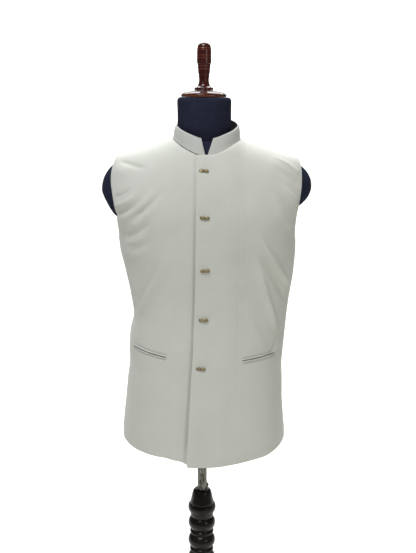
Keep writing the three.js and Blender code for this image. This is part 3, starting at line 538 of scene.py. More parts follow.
def button_relief(points):
    total = np.zeros(points.shape[:-1])
    in_front = points[..., 1] < 0
    for x, z, _, _ in BUTTONS:
        distance = np.hypot(points[..., 0] - x, (points[..., 2] - z) * 1.5)
        total -= 0.5 * np.exp(-((distance / 15) ** 2)) * in_front
    return total


def pocket_relief(points):
    """Soft ditches above and below the jets."""
    total = np.zeros(points.shape[:-1])
    for _, _, inner_x, inner_z, outer_x, outer_z in POCKETS:
        run = np.array([outer_x - inner_x, outer_z - inner_z], float)
        length = np.linalg.norm(run)
        run /= length
        x = points[..., 0] - inner_x
        z = points[..., 2] - inner_z
        along = x * run[0] + z * run[1]
        across = (z * run[0] - x * run[1]) * np.sign(run[0])
        inside = smooth(along, -3, 4) * (1 - smooth(along, length - 4, length + 3)) * (points[..., 1] < 0)
        total += inside * seam_dip(across - UPPER_DITCH, DITCH_DEPTH + 0.5, DITCH_WIDTH)
        total += inside * seam_dip(across + LOWER_DITCH, DITCH_DEPTH, DITCH_WIDTH)
    return total


def neckline_relief(points):
    """A ditch along the neckline, under the lower edge of the collar."""
    total = np.zeros(points.shape[:-1])
    near = points[..., 2] > 1320
    if near.any():
        path = np.concatenate([neckline_path(FRONT), neckline_path(BACK)[::-1]])
        distance, _ = distance_to_path(points[near], path)
        total[near] = seam_dip(distance, 1.5, 2.6)
    return total


def hem_relief(points):
    rise = np.where(points[..., 1] < 0, hem_rise(FRONT, points), hem_rise(BACK, points))
    above = points[..., 2] - HEM_Z - rise - 37
    return -0.22 * np.exp(-((above / 2.2) ** 2)) + 0.18 * (1 - smooth(above, -3, 3))


def relief(points):
    """Everything but the overlap that moves the cloth out from its plain section."""
    return (
        fold_height(points, FOLDS)
        + waviness(points)
        + dart_relief(points)
        + button_relief(points)
        + hem_relief(points)
        + pocket_relief(points)
        + neckline_relief(points)
    )


def edge_trough(points):
    """The under front sinks beside the edge of the front that lies over it."""
    z = points[..., 2]
    beside = look_up(OVERLAP_EDGE, "z", z, "x") - points[..., 0]
    deep = look_up(TROUGH, "z", z, "depth")
    width = look_up(TROUGH, "z", z, "width")
    return -deep * np.exp(-np.maximum(beside, 0) / width)


def worn_point(hand, x, z, lift):
    place = surface_point(FRONT, x, z)
    overlap = overlap_height(place) if hand == LEFT else edge_trough(place)
    return place + cloth_normal(FRONT, x, z) * (relief(place) + overlap + lift)[..., None]


# Neckline and armhole

def neck_place(side, angle):
    """Height, section angle and level of a place on the neckline, by its angle from the side."""
    lateral = NECK_HALF * np.cos(angle)
    wanted = (NECK_FRONT if side == FRONT else NECK_BACK) * np.sin(angle)
    ridge = ridge_height(lateral)
    z = ridge
    for _ in range(8):
        share = lateral / size_at(CLOTH, z, "half")
        along = (1 - share**SECTION_POWER) ** (1 / SECTION_POWER)
        z = ridge - drop_for_fullness(wanted / (size_at(CLOTH, z, depth_column(side)) * along))
    share = lateral / size_at(CLOTH, z, "half")
    rise = (z - UNDERARM_Z) / (ridge - UNDERARM_Z)
    return z, np.arccos(share ** (SECTION_POWER / 2)), UNDERARM_Z + rise * (RIDGE_TOP_Z - UNDERARM_Z)


def neckline_path(side):
    turn = np.linspace(0, np.pi, 49)
    angle = np.arccos(np.minimum(np.abs(np.cos(turn)), 1))
    z = neck_place(side, angle)[0]
    depth = NECK_FRONT if side == FRONT else NECK_BACK
    x = NECK_CENTRE_X + NECK_HALF * np.cos(turn)
    return np.stack([x, side * depth * np.sin(turn), z], axis=-1)


def hem_rise(side, points):
    rows = FRONT_HEM if side == FRONT else BACK_HEM
    return look_up(rows, "x", points[..., 0], "rise")


def raised_level(side, hand, angle, level):
    """Raises the lowest rows of a panel along the curve of the hem."""
    rise = hem_rise(side, section_point(CLOTH, side, hand, angle, level))
    return level + rise * (1 - smooth(level, HEM_Z, HEM_Z + HEM_FADE))


def armhole_angle(hand, level):
    rise = np.clip((level - UNDERARM_Z) / (RIDGE_TOP_Z - UNDERARM_Z), 0, 1)
    full = math.radians(ARMHOLE_ANGLE)
    low = np.clip(rise / ARMHOLE_ROUND_SHARE, 0, 1)
    tip = np.clip((rise - ARMHOLE_ROUND_SHARE) / (1 - ARMHOLE_ROUND_SHARE), 0, 1)
    return full * np.sqrt(1 - (1 - low) ** 2) + (math.radians(ARMHOLE_TIP_ANGLES[hand]) - full) * tip**3


def angle_of_place(hand, x, level):
    share = hand * (x - size_at(CLOTH, level, "shift")) / size_at(CLOTH, level, "half")
    return np.arccos(signed_power(share, SECTION_POWER / 2))


# Meshes

def add_object(name, vertices, faces, material, uv=None, scale=MM):
    mesh = bpy.data.meshes.new(name)
    mesh.from_pydata((np.asarray(vertices) * scale).tolist(), [], [tuple(face) for face in faces])
    mesh.polygons.foreach_set("use_smooth", [True] * len(mesh.polygons))
    if uv is not None:
        layer = mesh.uv_layers.new(name="cloth")
        corners = np.zeros(len(mesh.loops), int)
        mesh.loops.foreach_get("vertex_index", corners)
        layer.data.foreach_set("uv", np.asarray(uv)[corners].ravel())
    mesh.materials.append(material)
    mesh.update()
    piece = bpy.data.objects.new(name, mesh)
    bpy.context.scene.collection.objects.link(piece)
    return piece


def spaced(count, near_start, near_end, total):
    """Shares from 0 to 1, close together at the ends that are given a fine first step."""
    share = np.linspace(0, 1, count + 1)
    weight = np.ones(count)
    middle = (share[1:] + share[:-1]) / 2 * total
    if near_start:
        weight *= 1 - (1 - near_start) * np.exp(-middle / 6)
    if near_end:
        weight *= 1 - (1 - near_end) * np.exp(-(total - middle) / 6)
    return np.concatenate([[0], np.cumsum(weight)]) / weight.sum()


def grid_faces(index, flip):
    a = index[:-1, :-1].ravel()
    b = index[:-1, 1:].ravel()
    c = index[1:, 1:].ravel()
    d = index[1:, :-1].ravel()
    return np.stack([a, d, c, b] if flip else [a, b, c, d], axis=1)


def closed_grid(rows, sides):
    """Indices of a grid whose last column is its first one again."""
    index = np.arange(rows * sides).reshape(rows, sides)
    return np.concatenate([index, index[:, :1]], axis=1)


def facing(faces, points, normals, sample=0):
    """The faces, turned round where the sample doesn't look along its normal."""
    corners = faces[sample]
    a, b, c = points[corners[:3]]
    return faces[:, ::-1] if np.cross(b - a, c - a) @ normals[corners[0]] < 0 else faces


RIM_STEPS = 4


def shell(name, points, normals, faces, wall, bulge, material, uv):
    """A thin closed wall behind a sheet, with rounded edges. bulge is how far each edge point rounds out."""
    count = len(points)
    inner = points - normals * wall
    edges = np.concatenate([faces[:, [0, 1]], faces[:, [1, 2]], faces[:, [2, 3]], faces[:, [3, 0]]])
    edges = edges[edges[:, 0] != edges[:, 1]]
    codes = edges[:, 0].astype(np.int64) * count + edges[:, 1]
    back_codes = edges[:, 1].astype(np.int64) * count + edges[:, 0]
    rim = edges[~np.isin(codes, back_codes)]
    outward = np.zeros_like(points)
    runs = points[rim[:, 1]] - points[rim[:, 0]]
    for column in (0, 1):
        np.add.at(outward, rim[:, column], unit(np.cross(runs, normals[rim[:, column]])))
    rim_points = np.unique(rim)
    place = np.zeros(count, int)
    place[rim_points] = np.arange(len(rim_points))
    away = unit(outward[rim_points]) * bulge[rim_points][:, None]
    rings = []
    for step in range(1, RIM_STEPS):
        turn = math.pi * step / RIM_STEPS
        depth = wall * (1 - math.cos(turn)) / 2
        rings.append(points[rim_points] - normals[rim_points] * depth + away * math.sin(turn))
    vertices = np.concatenate([points, inner, *rings])
    all_faces = [faces, faces[:, ::-1] + count]
    between = [2 * count + step * len(rim_points) + place[rim] for step in range(RIM_STEPS - 1)]
    rows = [rim, *between, rim + count]
    for low, high in zip(rows, rows[1:]):
        all_faces.append(np.stack([low[:, 1], low[:, 0], high[:, 0], high[:, 1]], axis=1))
    all_uv = np.concatenate([uv, uv, *[uv[rim_points]] * (RIM_STEPS - 1)])
    return add_object(name, vertices, np.concatenate(all_faces), material, all_uv)


def row_levels(side):
    """Shares of the rows below the neckline, and the angles on the neckline of those above it."""
    share = spaced(236, 0.2, 0, 680)
    if side == FRONT:
        split = np.where(np.abs(share[:-1] * 680 - POCKET_ROWS_AT) < 30, 3, 1)
        steps = np.repeat(np.diff(share) / split, split)
        share = np.concatenate([[0], np.cumsum(steps)])
    return share, np.radians(90 * (1 - np.arange(1, 37) / 36))


def half_panel(side, hand, edge_x=None):
    """Rows and columns of one half, from the front edge or middle out to the side and armhole."""
    share, neck_angles = row_levels(side)
    neck_level = neck_place(side, np.array([math.pi / 2]))[2][0]
    low_levels = HEM_Z + (neck_level - HEM_Z) * share
    _, high_starts, high_levels = neck_place(side, neck_angles)
    high_levels[-1] = RIDGE_TOP_Z
    levels = np.concatenate([low_levels, high_levels])
    starts = np.concatenate([np.full(len(low_levels), math.pi / 2), high_starts])
    ends = armhole_angle(hand, levels)
    rows, sign = dart_table(side, hand)
    dart_z = np.minimum(levels, DART_TOP_Z)
    dart_angle = angle_of_place(hand, sign * look_up(rows, "z", dart_z, "x"), dart_z)
    dart_share = (math.pi / 2 - dart_angle) / (math.pi / 2 - armhole_angle(hand, dart_z))
    darts = starts + (ends - starts) * dart_share
    inner = spaced(24, 0, 0.25, 75)
    outer = spaced(62, 0.25, 0.2, 190)
    angles = np.concatenate(
        [
            starts[:, None] + (darts - starts)[:, None] * inner[None, :-1],
            darts[:, None] + (ends - darts)[:, None] * outer[None, :],
        ],
        axis=1,
    )
    grid = {"levels": levels, "angles": angles, "neck_row": len(low_levels) - 1}
    if edge_x is not None:
        edges = angle_of_place(hand, edge_x(low_levels), low_levels)
        strip = spaced(9, 0.35, 0, 20)[None, :-1]
        grid["strip"] = edges[:, None] + (math.pi / 2 - edges)[:, None] * strip
    return grid


def run_lengths(points):
    """Lengths along each row of a grid, from its first column."""
    steps = np.linalg.norm(np.diff(points, axis=1), axis=-1)
    return np.concatenate([np.zeros((len(points), 1)), np.cumsum(steps, axis=1)], axis=1)


def sheet_area(points, faces):
    a, b, c, d = (points[faces[:, corner]] for corner in range(4))
    return float(np.linalg.norm(np.cross(c - a, d - b), axis=-1).sum() / 2) * MM * MM


def panel(name, side, halves, extra_height, material):
    """One cut piece, from one half or from two that meet in the middle."""
    points = []
    normals = []
    uv = []
    side_gap = []
    top_gap = []
    arm_gap = []
    faces = []
    seam = []
    offset = 0
    middle_index = None
    for hand, grid in halves:
        levels = grid["levels"]
        angles = grid["angles"]
        level_grid = raised_level(side, hand, angles, np.broadcast_to(levels[:, None], angles.shape))
        base = section_point(CLOTH, side, hand, angles, level_grid)
        normal = section_normal(CLOTH, side, hand, angles, level_grid)
        on_seam = np.zeros(angles.shape, bool)
        on_seam[-1, :] = True
        on_seam[levels <= UNDERARM_Z, -1] = True
        normal[on_seam, 1] = 0
        normal = unit(normal)
        lengths = run_lengths(base)
        to_end = lengths[:, -1:] - lengths
        below = levels[:, None] <= UNDERARM_Z
        rise = np.linalg.norm(np.diff(base, axis=0), axis=-1)
        heights = np.concatenate([np.zeros((1, rise.shape[1])), np.cumsum(rise, axis=0)])
        to_top = heights[-1:] - heights
        index = offset + np.arange(angles.size).reshape(angles.shape)
        if middle_index is not None:
            index[: grid["neck_row"] + 1, 0] = middle_index
        middle_index = index[: grid["neck_row"] + 1, 0].copy()
        faces.append(grid_faces(index, side * hand > 0))
        points.append(base.reshape(-1, 3))
        normals.append(normal.reshape(-1, 3))
        uv.append(np.stack([hand * lengths, heights], axis=-1).reshape(-1, 2))
        side_gap.append(np.where(below, to_end, 99).ravel())
        arm_gap.append(np.where(below, 99, to_end).ravel())
        top_gap.append(to_top.ravel())
        seam.append(on_seam.ravel())
        offset += angles.size
        if "strip" in grid:
            strip = grid["strip"]
            strip_levels = np.broadcast_to(levels[: grid["neck_row"] + 1, None], strip.shape)
            strip_levels = raised_level(side, hand, strip, strip_levels)
            strip_points = section_point(CLOTH, side, hand, strip, strip_levels)
            strip_index = offset + np.arange(strip.size).reshape(strip.shape)
            joined = np.concatenate([strip_index, middle_index[:, None]], axis=1)
            faces.append(grid_faces(joined, side * hand > 0))
            points.append(strip_points.reshape(-1, 3))
            normals.append(section_normal(CLOTH, side, hand, strip, strip_levels).reshape(-1, 3))
            reach = strip_points[..., 0] - base[: grid["neck_row"] + 1, :1, 0]
            strip_heights = np.broadcast_to(heights[: grid["neck_row"] + 1, :1], strip.shape)
            uv.append(np.stack([reach, strip_heights], axis=-1).reshape(-1, 2))
            for gaps in (side_gap, arm_gap, top_gap):
                gaps.append(np.full(strip.size, 99.0))
            seam.append(np.zeros(strip.size, bool))
            offset += strip.size
    points = np.concatenate(points)
    normals = np.concatenate(normals)
    faces = np.concatenate(faces)
    side_gap = np.concatenate(side_gap)
    arm_gap = np.concatenate(arm_gap)
    top_gap = np.concatenate(top_gap)
    seam = np.concatenate(seam)
    height = relief(points) + extra_height(points)
    height += seam_dip(side_gap, 0.5, 1.4) + seam_dip(top_gap, 0.5, 1.4)
    height += 0.3 * (1 - smooth(arm_gap, 4.5, 7)) + seam_dip(arm_gap - 6.2, 0.3, 1.2)
    bulge = np.where(seam, 0.08, 0.8)
    worn = points + normals * height[:, None]
    piece = shell(name, worn, normals, faces, CLOTH_WALL, bulge, material, np.concatenate(uv) * MM)
    return piece, worn, faces


# Materials

def new_material(name):
    material = bpy.data.materials.new(name)
    material.use_nodes = True
    nodes = material.node_tree.nodes
    nodes.clear()
    output = nodes.new("ShaderNodeOutputMaterial")
    shader = nodes.new("ShaderNodeBsdfPrincipled")
    material.node_tree.links.new(shader.outputs[0], output.inputs["Surface"])
    return material, material.node_tree, shader


def add_node(tree, kind, inputs=None, **settings):
    node = tree.nodes.new("ShaderNode" + kind)
    for name, value in settings.items():
        setattr(node, name, value)
    for name, value in (inputs or {}).items():
        if isinstance(value, bpy.types.NodeSocket):
            tree.links.new(value, node.inputs[name])
        else:
            node.inputs[name].default_value = value
    return node


def set_inputs(shader, values):
    for name, value in values.items():
        shader.inputs[name].default_value = value


def noise(tree, place, scale, detail=4.0, roughness=0.55):
    inputs = {"Vector": place, "Scale": scale, "Detail": detail, "Roughness": roughness}
    return add_node(tree, "TexNoise", inputs)


def waves(tree, place, scale, distortion, detail_scale=1.0, **settings):
    inputs = {"Scale": scale, "Distortion": distortion, "Detail": 1.0, "Detail Scale": detail_scale}
    return add_node(tree, "TexWave", {"Vector": place, **inputs}, **settings)


def mapped(tree, place, **values):
    return add_node(tree, "Mapping", {"Vector": place, **values}).outputs["Vector"]


def mixed(tree, share, low, high, span=(0.3, 0.7)):
    ramp = add_node(tree, "ValToRGB", {"Fac": share})
    for element, position, colour in zip(ramp.color_ramp.elements, span, (low, high)):
        element.position = position
        element.color = (*colour, 1)
    return ramp.outputs["Color"]


def vary_roughness(tree, shader, share, low, high):
    rough = add_node(tree, "MapRange", {"Value": share, "To Min": low, "To Max": high})
    tree.links.new(rough.outputs["Result"], shader.inputs["Roughness"])


def bumped(tree, shader, layers):
    """Chains bump layers of (height, strength, distance in metres) into the shader's normal."""
    normal = None
    for height, strength, distance in layers:
        inputs = {"Height": height, "Strength": strength, "Distance": distance}
        if normal is not None:
            inputs["Normal"] = normal
        normal = add_node(tree, "Bump", inputs).outputs["Normal"]
    tree.links.new(normal, shader.inputs["Normal"])


def cloth_material(name, low, high):
    material, tree, shader = new_material(name)
    place = add_node(tree, "TexCoord")
    uv = place.outputs["UV"]
    turned = mapped(tree, uv, Rotation=(0, 0, math.radians(38)))
    twill = waves(tree, turned, 420.0, 0.6, 2.0)
    slub = noise(tree, mapped(tree, uv, Scale=(1, 6, 1)), 700.0, 2.0)
    cloud = noise(tree, place.outputs["Object"], 9.0, 5.0, 0.6)
    tree.links.new(mixed(tree, cloud.outputs["Fac"], low, high), shader.inputs["Base Color"])
    sheen = {"Sheen Weight": 0.12, "Sheen Roughness": 0.5}
    set_inputs(shader, {"Roughness": 0.74, "Specular IOR Level": 0.3, **sheen})
    soft = noise(tree, place.outputs["Object"], 60.0, 3.0)
    bumped(
        tree,
        shader,
        [
            (soft.outputs["Fac"], 0.25, 0.0006),
            (twill.outputs["Fac"], 0.35, 0.00012),
            (slub.outputs["Fac"], 0.3, 0.0001),
        ],
    )
    return material


def jersey_material():
    material, tree, shader = new_material("navy jersey")
    place = add_node(tree, "TexCoord").outputs["Object"]
    wales = waves(tree, place, 210.0, 1.2, 3.0)
    courses = waves(tree, place, 260.0, 1.0, bands_direction="Z")
    lint = noise(tree, place, 45.0, 6.0, 0.7)
    tint = mixed(tree, lint.outputs["Fac"], (0.021, 0.024, 0.046), (0.03, 0.034, 0.06))
    tree.links.new(tint, shader.inputs["Base Color"])
    set_inputs(shader, {"Roughness": 0.88, "Specular IOR Level": 0.15, "IOR": 1.3})
    bumped(tree, shader, [(wales.outputs["Fac"], 0.4, 0.0003), (courses.outputs["Fac"], 0.35, 0.0002)])
    return material


def brass_material():
    material, tree, shader = new_material("antique brass")
    place = add_node(tree, "TexCoord").outputs["Object"]
    stain = noise(tree, place, 420.0, 5.0, 0.65)
    tree.links.new(
        mixed(tree, stain.outputs["Fac"], (0.12, 0.09, 0.042), (0.6, 0.51, 0.31)), shader.inputs["Base Color"]
    )
    shader.inputs["Metallic"].default_value = 0.9
    vary_roughness(tree, shader, stain.outputs["Fac"], 0.5, 0.28)
    bumped(tree, shader, [(stain.outputs["Fac"], 0.3, 0.0003)])
    return material


def lacquer_material(name, low, high, grain_scale, roughness, coat, lines=()):
    """Turned wood under gloss. lines are the heights and colours of fine turned lines, in metres."""
    material, tree, shader = new_material(name)
    place = add_node(tree, "TexCoord").outputs["Object"]
    stretched = add_node(tree, "Mapping", {"Vector": place, "Scale": (1, 1, 0.12)}).outputs["Vector"]
    grain = noise(tree, stretched, grain_scale, 6.0, 0.62)
    colour = mixed(tree, grain.outputs["Fac"], low, high)
    height = add_node(tree, "SeparateXYZ", {"Vector": place}).outputs["Z"]
    for at, half, line_colour in lines:
        inside = add_node(tree, "Math", {0: height, 1: at, 2: half}, operation="COMPARE")
        blend = add_node(tree, "Mix", data_type="RGBA")
        tree.links.new(inside.outputs[0], blend.inputs["Factor"])
        tree.links.new(colour, blend.inputs["A"])
        blend.inputs["B"].default_value = (*line_colour, 1)
        colour = blend.outputs["Result"]
    tree.links.new(colour, shader.inputs["Base Color"])
    wear = noise(tree, place, 38.0, 3.0)
    vary_roughness(tree, shader, wear.outputs["Fac"], roughness * 0.75, roughness * 1.35)
    set_inputs(shader, {"IOR": 1.25, "Coat Weight": coat, "Coat IOR": 1.4, "Coat Roughness": 0.06})
    bumped(tree, shader, [(wear.outputs["Fac"], 0.15, 0.0008), (grain.outputs["Fac"], 0.15, 0.0002)])
    return material


def zinc_material():
    material, tree, shader = new_material("mottled zinc")
    place = add_node(tree, "TexCoord").outputs["Object"]
    blotch = noise(tree, place, 120.0, 8.0, 0.7)
    streak = noise(tree, mapped(tree, place, Scale=(1, 1, 0.15)), 260.0, 4.0)
    both = add_node(tree, "Math", {0: blotch.outputs["Fac"], 1: streak.outputs["Fac"]}, operation="MULTIPLY")
    colour = mixed(tree, both.outputs[0], (0.075, 0.07, 0.058), (0.52, 0.51, 0.45), (0.16, 0.38))
    tree.links.new(colour, shader.inputs["Base Color"])
    set_inputs(shader, {"Metallic": 0.1, "IOR": 1.2})
    vary_roughness(tree, shader, blotch.outputs["Fac"], 0.3, 0.6)
    bumped(tree, shader, [(blotch.outputs["Fac"], 0.5, 0.001)])
    return material


def plastic_material():
    material, tree, shader = new_material("black plastic")
    place = add_node(tree, "TexCoord").outputs["Object"]
    scuff = noise(tree, place, 300.0, 5.0, 0.6)
    tint = mixed(tree, scuff.outputs["Fac"], (0.008, 0.008, 0.009), (0.014, 0.014, 0.016))
    tree.links.new(tint, shader.inputs["Base Color"])
    shader.inputs["Roughness"].default_value = 0.38
    bumped(tree, shader, [(scuff.outputs["Fac"], 0.2, 0.0003)])
    return material


def paper_material():
    material, tree, shader = new_material("studio paper")
    place = add_node(tree, "TexCoord").outputs["Object"]
    fibre = noise(tree, place, 30.0, 4.0)
    tree.links.new(
        mixed(tree, fibre.outputs["Fac"], (0.91, 0.9, 0.87), (0.93, 0.92, 0.89)), shader.inputs["Base Color"]
    )
    shader.inputs["Roughness"].default_value = 0.9
    return material


IVORY = cloth_material("ivory suiting", (0.705, 0.72, 0.655), (0.755, 0.77, 0.705))
# A darker copy of the ivory suiting: painted shade, used on the collar, the pocket jets and the stitches.
IVORY_PAINTED_SHADE = cloth_material("ivory with painted shade", (0.6, 0.61, 0.57), (0.65, 0.66, 0.62))
# A dark grey for the inside of the collar: painted shade for its shadowed inside.
COLLAR_INSIDE_PAINTED_SHADE = cloth_material("collar inside painted shade", (0.17, 0.172, 0.165), (0.22, 0.222, 0.21))
# A near-black brown for the pocket slits: painted shade of the pockets' depth.
POCKET_MOUTH_PAINTED_SHADE = cloth_material("pocket mouth painted shade", (0.085, 0.08, 0.062), (0.11, 0.105, 0.085))
JERSEY = jersey_material()
BRASS = brass_material()
LINE = (0.2, 0.05, 0.016)
FINIAL_LINES = [(z * MM, 0.0006, LINE) for z in (57.6, 64, 80.5, 86, 97.2, 101)]
FINIAL_LINES.append((1.6 * MM, 0.0014, (0.26, 0.075, 0.018)))
MAHOGANY = lacquer_material(
    "mahogany gloss", (0.022, 0.0035, 0.003), (0.095, 0.013, 0.009), 75.0, 0.3, 0.9, FINIAL_LINES
)
DARK_LACQUER = lacquer_material(
    "dark lacquer", (0.0035, 0.0028, 0.0028), (0.0125, 0.0075, 0.005), 40.0, 0.5, 0.5
)
ZINC = zinc_material()
PLASTIC = plastic_material()


# The jacket's panels

def finished(piece, body, slot, *nodes):
    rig.ride(piece, body)
    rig.slot(piece, slot)
    if nodes:
        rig.replaces(piece, *nodes)
    return piece


def left_edge(level):
    return look_up(OVERLAP_EDGE, "z", level, "x")


def right_edge(level):
    return np.full_like(level, UNDERLAP_X)


def no_height(points):
    return np.zeros(points.shape[:-1])


left_grid = half_panel(FRONT, LEFT, left_edge)
right_grid = half_panel(FRONT, RIGHT, right_edge)
back_left_grid = half_panel(BACK, LEFT)
back_right_grid = half_panel(BACK, RIGHT)

front_left, left_points, left_faces = panel(
    "front_left_cloth", FRONT, [(LEFT, left_grid)], overlap_height, IVORY
)
front_right, right_points, right_faces = panel(
    "front_right_cloth", FRONT, [(RIGHT, right_grid)], edge_trough, IVORY
)
back, back_points, back_faces = panel(
    "back_cloth", BACK, [(LEFT, back_left_grid), (RIGHT, back_right_grid)], no_height, IVORY
)
finished(front_left, "dressed_form", "cloth", "front_left")
finished(front_right, "dressed_form", "cloth", "front_right")
finished(back, "dressed_form", "cloth", "back")


# Collar

COLLAR_COLUMNS = 220
COLLAR_ROWS = 18


def collar_sheet():
    share = spaced(COLLAR_ROWS, 0.4, 0.3, 33)[:, None]
    notch = NOTCH_LOW_HALF + (NOTCH_TOP_HALF - NOTCH_LOW_HALF) * share
    half = NECK_HALF + (COLLAR_TOP_HALF - NECK_HALF) * share
    reach = math.pi - np.arcsin(notch / half)
    turn = reach * (2 * spaced(COLLAR_COLUMNS, 0.25, 0.25, 420)[None, :] - 1)
    in_front = np.abs(turn) > math.pi / 2
    seam_angle = np.arcsin(np.minimum(np.abs(np.cos(turn)), 1))
    front_z, back_z = (neck_place(side, seam_angle)[0] for side in (FRONT, BACK))
    seam_z = np.where(in_front, front_z, back_z) + COLLAR_SEAM
    low = np.stack(
        [
            (NECK_HALF - COLLAR_INSET) * np.sin(turn),
            (np.where(in_front, NECK_FRONT, NECK_BACK) - COLLAR_INSET) * np.cos(turn),
            seam_z,
        ],
        axis=-1,
    )
    high = np.stack(
        [
            COLLAR_TOP_HALF * np.sin(turn),
            np.where(in_front, COLLAR_TOP_FRONT, COLLAR_TOP_BACK) * np.cos(turn),
            seam_z + look_up(COLLAR_RISE, "turn", np.degrees(np.abs(turn)), "rise"),
        ],
        axis=-1,
    )
    points = low + (high - low) * share[..., None]
    points[..., 0] += NECK_CENTRE_X + COLLAR_TOP_SHIFT * share
    around = np.gradient(points, axis=1)
    up = np.gradient(points, axis=0)
    normals = unit(np.cross(around, up))
    middle = np.array([NECK_CENTRE_X, -6, 1400])
    if ((points - middle) * normals)[..., :2].sum() < 0:
        normals = -normals
    return points, normals, turn


def make_collar():
    points, normals, turn = collar_sheet()
    rows, columns = turn.shape
    lengths = run_lengths(points)
    heights = np.broadcast_to(spaced(COLLAR_ROWS, 0.4, 0.3, 33)[:, None] * 33.5, turn.shape)
    to_end = np.minimum(lengths, lengths[:, -1:] - lengths)
    to_top = heights[-1:] - heights
    to_edge = np.minimum(to_end, to_top)
    height = 0.7 * np.sin(np.pi * heights / heights.max()) + 0.9 * (1 - smooth(heights, 1, 8))
    height = height - 1.5 * (1 - smooth(to_edge, -1, 2.4)) + seam_dip(to_edge - 3, 0.2, 0.9)
    height = height + 0.25 * np.sin(lengths / 31 + 0.8) * np.sin(np.pi * heights / 40)
    height = height + 0.15 * np.sin(lengths / 13)
    worn = (points + normals * height[..., None]).reshape(-1, 3)
    index = np.arange(turn.size).reshape(turn.shape)
    faces = grid_faces(index, False)
    faces = facing(faces, worn, normals.reshape(-1, 3), len(faces) // 2)
    bulge = np.full(len(worn), 0.9)
    bulge[index[0]] = 0.15
    uv = np.stack([lengths, heights], axis=-1).reshape(-1, 2) * MM
    # The collar's outside takes the darker ivory, which is painted shade.
    piece = shell("collar_cloth", worn, normals.reshape(-1, 3), faces, COLLAR_WALL, bulge, IVORY_PAINTED_SHADE, uv)
    # The collar's inside faces take the dark grey, which is painted shade.
    piece.data.materials.append(COLLAR_INSIDE_PAINTED_SHADE)
    inside = np.zeros(len(piece.data.polygons), int)
    inside[len(faces) : 2 * len(faces)] = 1
    piece.data.polygons.foreach_set("material_index", inside)
    return finished(piece, "dressed_form", "cloth", "collar"), sheet_area(worn, faces)


collar, collar_area = make_collar()


# Pocket jets

def pocket_strip(name, pocket, along, away, lift, wall, bulge, material):
    """A shell along a pocket's line. away is how far each row lies above that line."""
    _, hand, inner_x, inner_z, outer_x, outer_z = pocket
    x = inner_x + (outer_x - inner_x) * along + 0 * away
    z = inner_z + (outer_z - inner_z) * along + away
    worn = worn_point(hand, x, z, lift).reshape(-1, 3)
    normals = cloth_normal(FRONT, x, z).reshape(-1, 3)
    faces = facing(grid_faces(np.arange(x.size).reshape(x.shape), False), worn, normals)
    uv = np.stack([x, z], axis=-1).reshape(-1, 2) * MM
    return shell(name, worn, normals, faces, wall, np.full(len(worn), bulge), material, uv)


def make_jet(pocket, is_upper):
    direction, high, crest = (1, 2.9, 0.3) if is_upper else (-1, 4.7, 0.62)
    across = spaced(10, 0.4, 0.4, 6)[:, None]
    along = spaced(60, 0.3, 0.3, 75)[None, :]
    rolled = smooth(across, 0, crest) * (1 - smooth(across, crest, 1))
    ends = np.minimum(smooth(along, 0, 0.05), smooth(1 - along, 0, 0.05))
    lift = 0.15 + 1.5 * rolled * ends
    lift = lift + 0.1 * np.sin(along * 75 / 5.5 + direction)
    away = direction * (JET_SLIT / 2 + high * across)
    place = f"{pocket[0]}_{'upper' if is_upper else 'lower'}"
    # The jets take the darker ivory, which is painted shade.
    piece = pocket_strip(f"jet_{place}", pocket, along, away, lift, JET_WALL + 0.3, 0.35, IVORY_PAINTED_SHADE)
    return finished(piece, "dressed_form", "cloth", f"pocket_jet_{place}")


def make_pocket_mouth(pocket):
    """A dark strip between the jets: painted shade of the pocket's depth."""
    across = np.linspace(-1.1, 1.1, 5)[:, None]
    along = np.linspace(0.015, 0.985, 61)[None, :]
    piece = pocket_strip(f"pocket_mouth_{pocket[0]}", pocket, along, across, 0.3, 0.4, 0.1, POCKET_MOUTH_PAINTED_SHADE)
    return finished(piece, "dressed_form", "cloth")


jets = {}
for row in POCKETS:
    jets[row[0]] = [make_jet(row, True), make_jet(row, False), make_pocket_mouth(row)]


# Tubes and sewing

def tube(path, radius, sides, across=None):
    """Rings round a closed path, joined up. across is the direction that each ring starts in."""
    path = np.asarray(path, float)
    tangents = unit(np.roll(path, -1, axis=0) - np.roll(path, 1, axis=0))
    if across is None:
        first = unit(np.cross(tangents, np.array([0.0, 1.0, 0.0])))
    else:
        first = np.broadcast_to(across, path.shape)
    second = np.cross(tangents, first)
    turn = full_turn(sides)
    ring = first[:, None] * np.cos(turn)[None, :, None] + second[:, None] * np.sin(turn)[None, :, None]
    vertices = (path[:, None] + ring * radius).reshape(-1, 3)
    index = closed_grid(len(path), sides)
    return vertices, grid_faces(np.concatenate([index, index[:1]], axis=0), False)


def merged(parts):
    vertices = []
    faces = []
    offset = 0
    for part_vertices, part_faces in parts:
        vertices.append(part_vertices)
        faces.extend((np.asarray(part_faces) + offset).tolist())
        offset += len(part_vertices)
    return np.concatenate(vertices), faces


STITCH_HALF, STITCH_SIDES, STITCH_PITCH, STITCH_INSET = 1.35, 6, 3.6, 3.2


def stitch(middle, along, outward):
    """One stitch: a short thread that dips in at both ends."""
    steps = np.array([-1, -0.72, 0, 0.72, 1])
    lift = np.array([-0.3, 0.12, 0.22, 0.12, -0.3])
    path = middle + along * (steps * STITCH_HALF)[:, None] + outward * lift[:, None]
    side = unit(np.cross(along, outward))
    turn = full_turn(STITCH_SIDES)
    radius = np.array([0.12, 0.26, 0.3, 0.26, 0.12])
    ring = side * np.cos(turn)[:, None] + outward * np.sin(turn)[:, None]
    vertices = (path[:, None] + ring[None] * radius[:, None, None]).reshape(-1, 3)
    return vertices, grid_faces(closed_grid(len(steps), STITCH_SIDES), False)


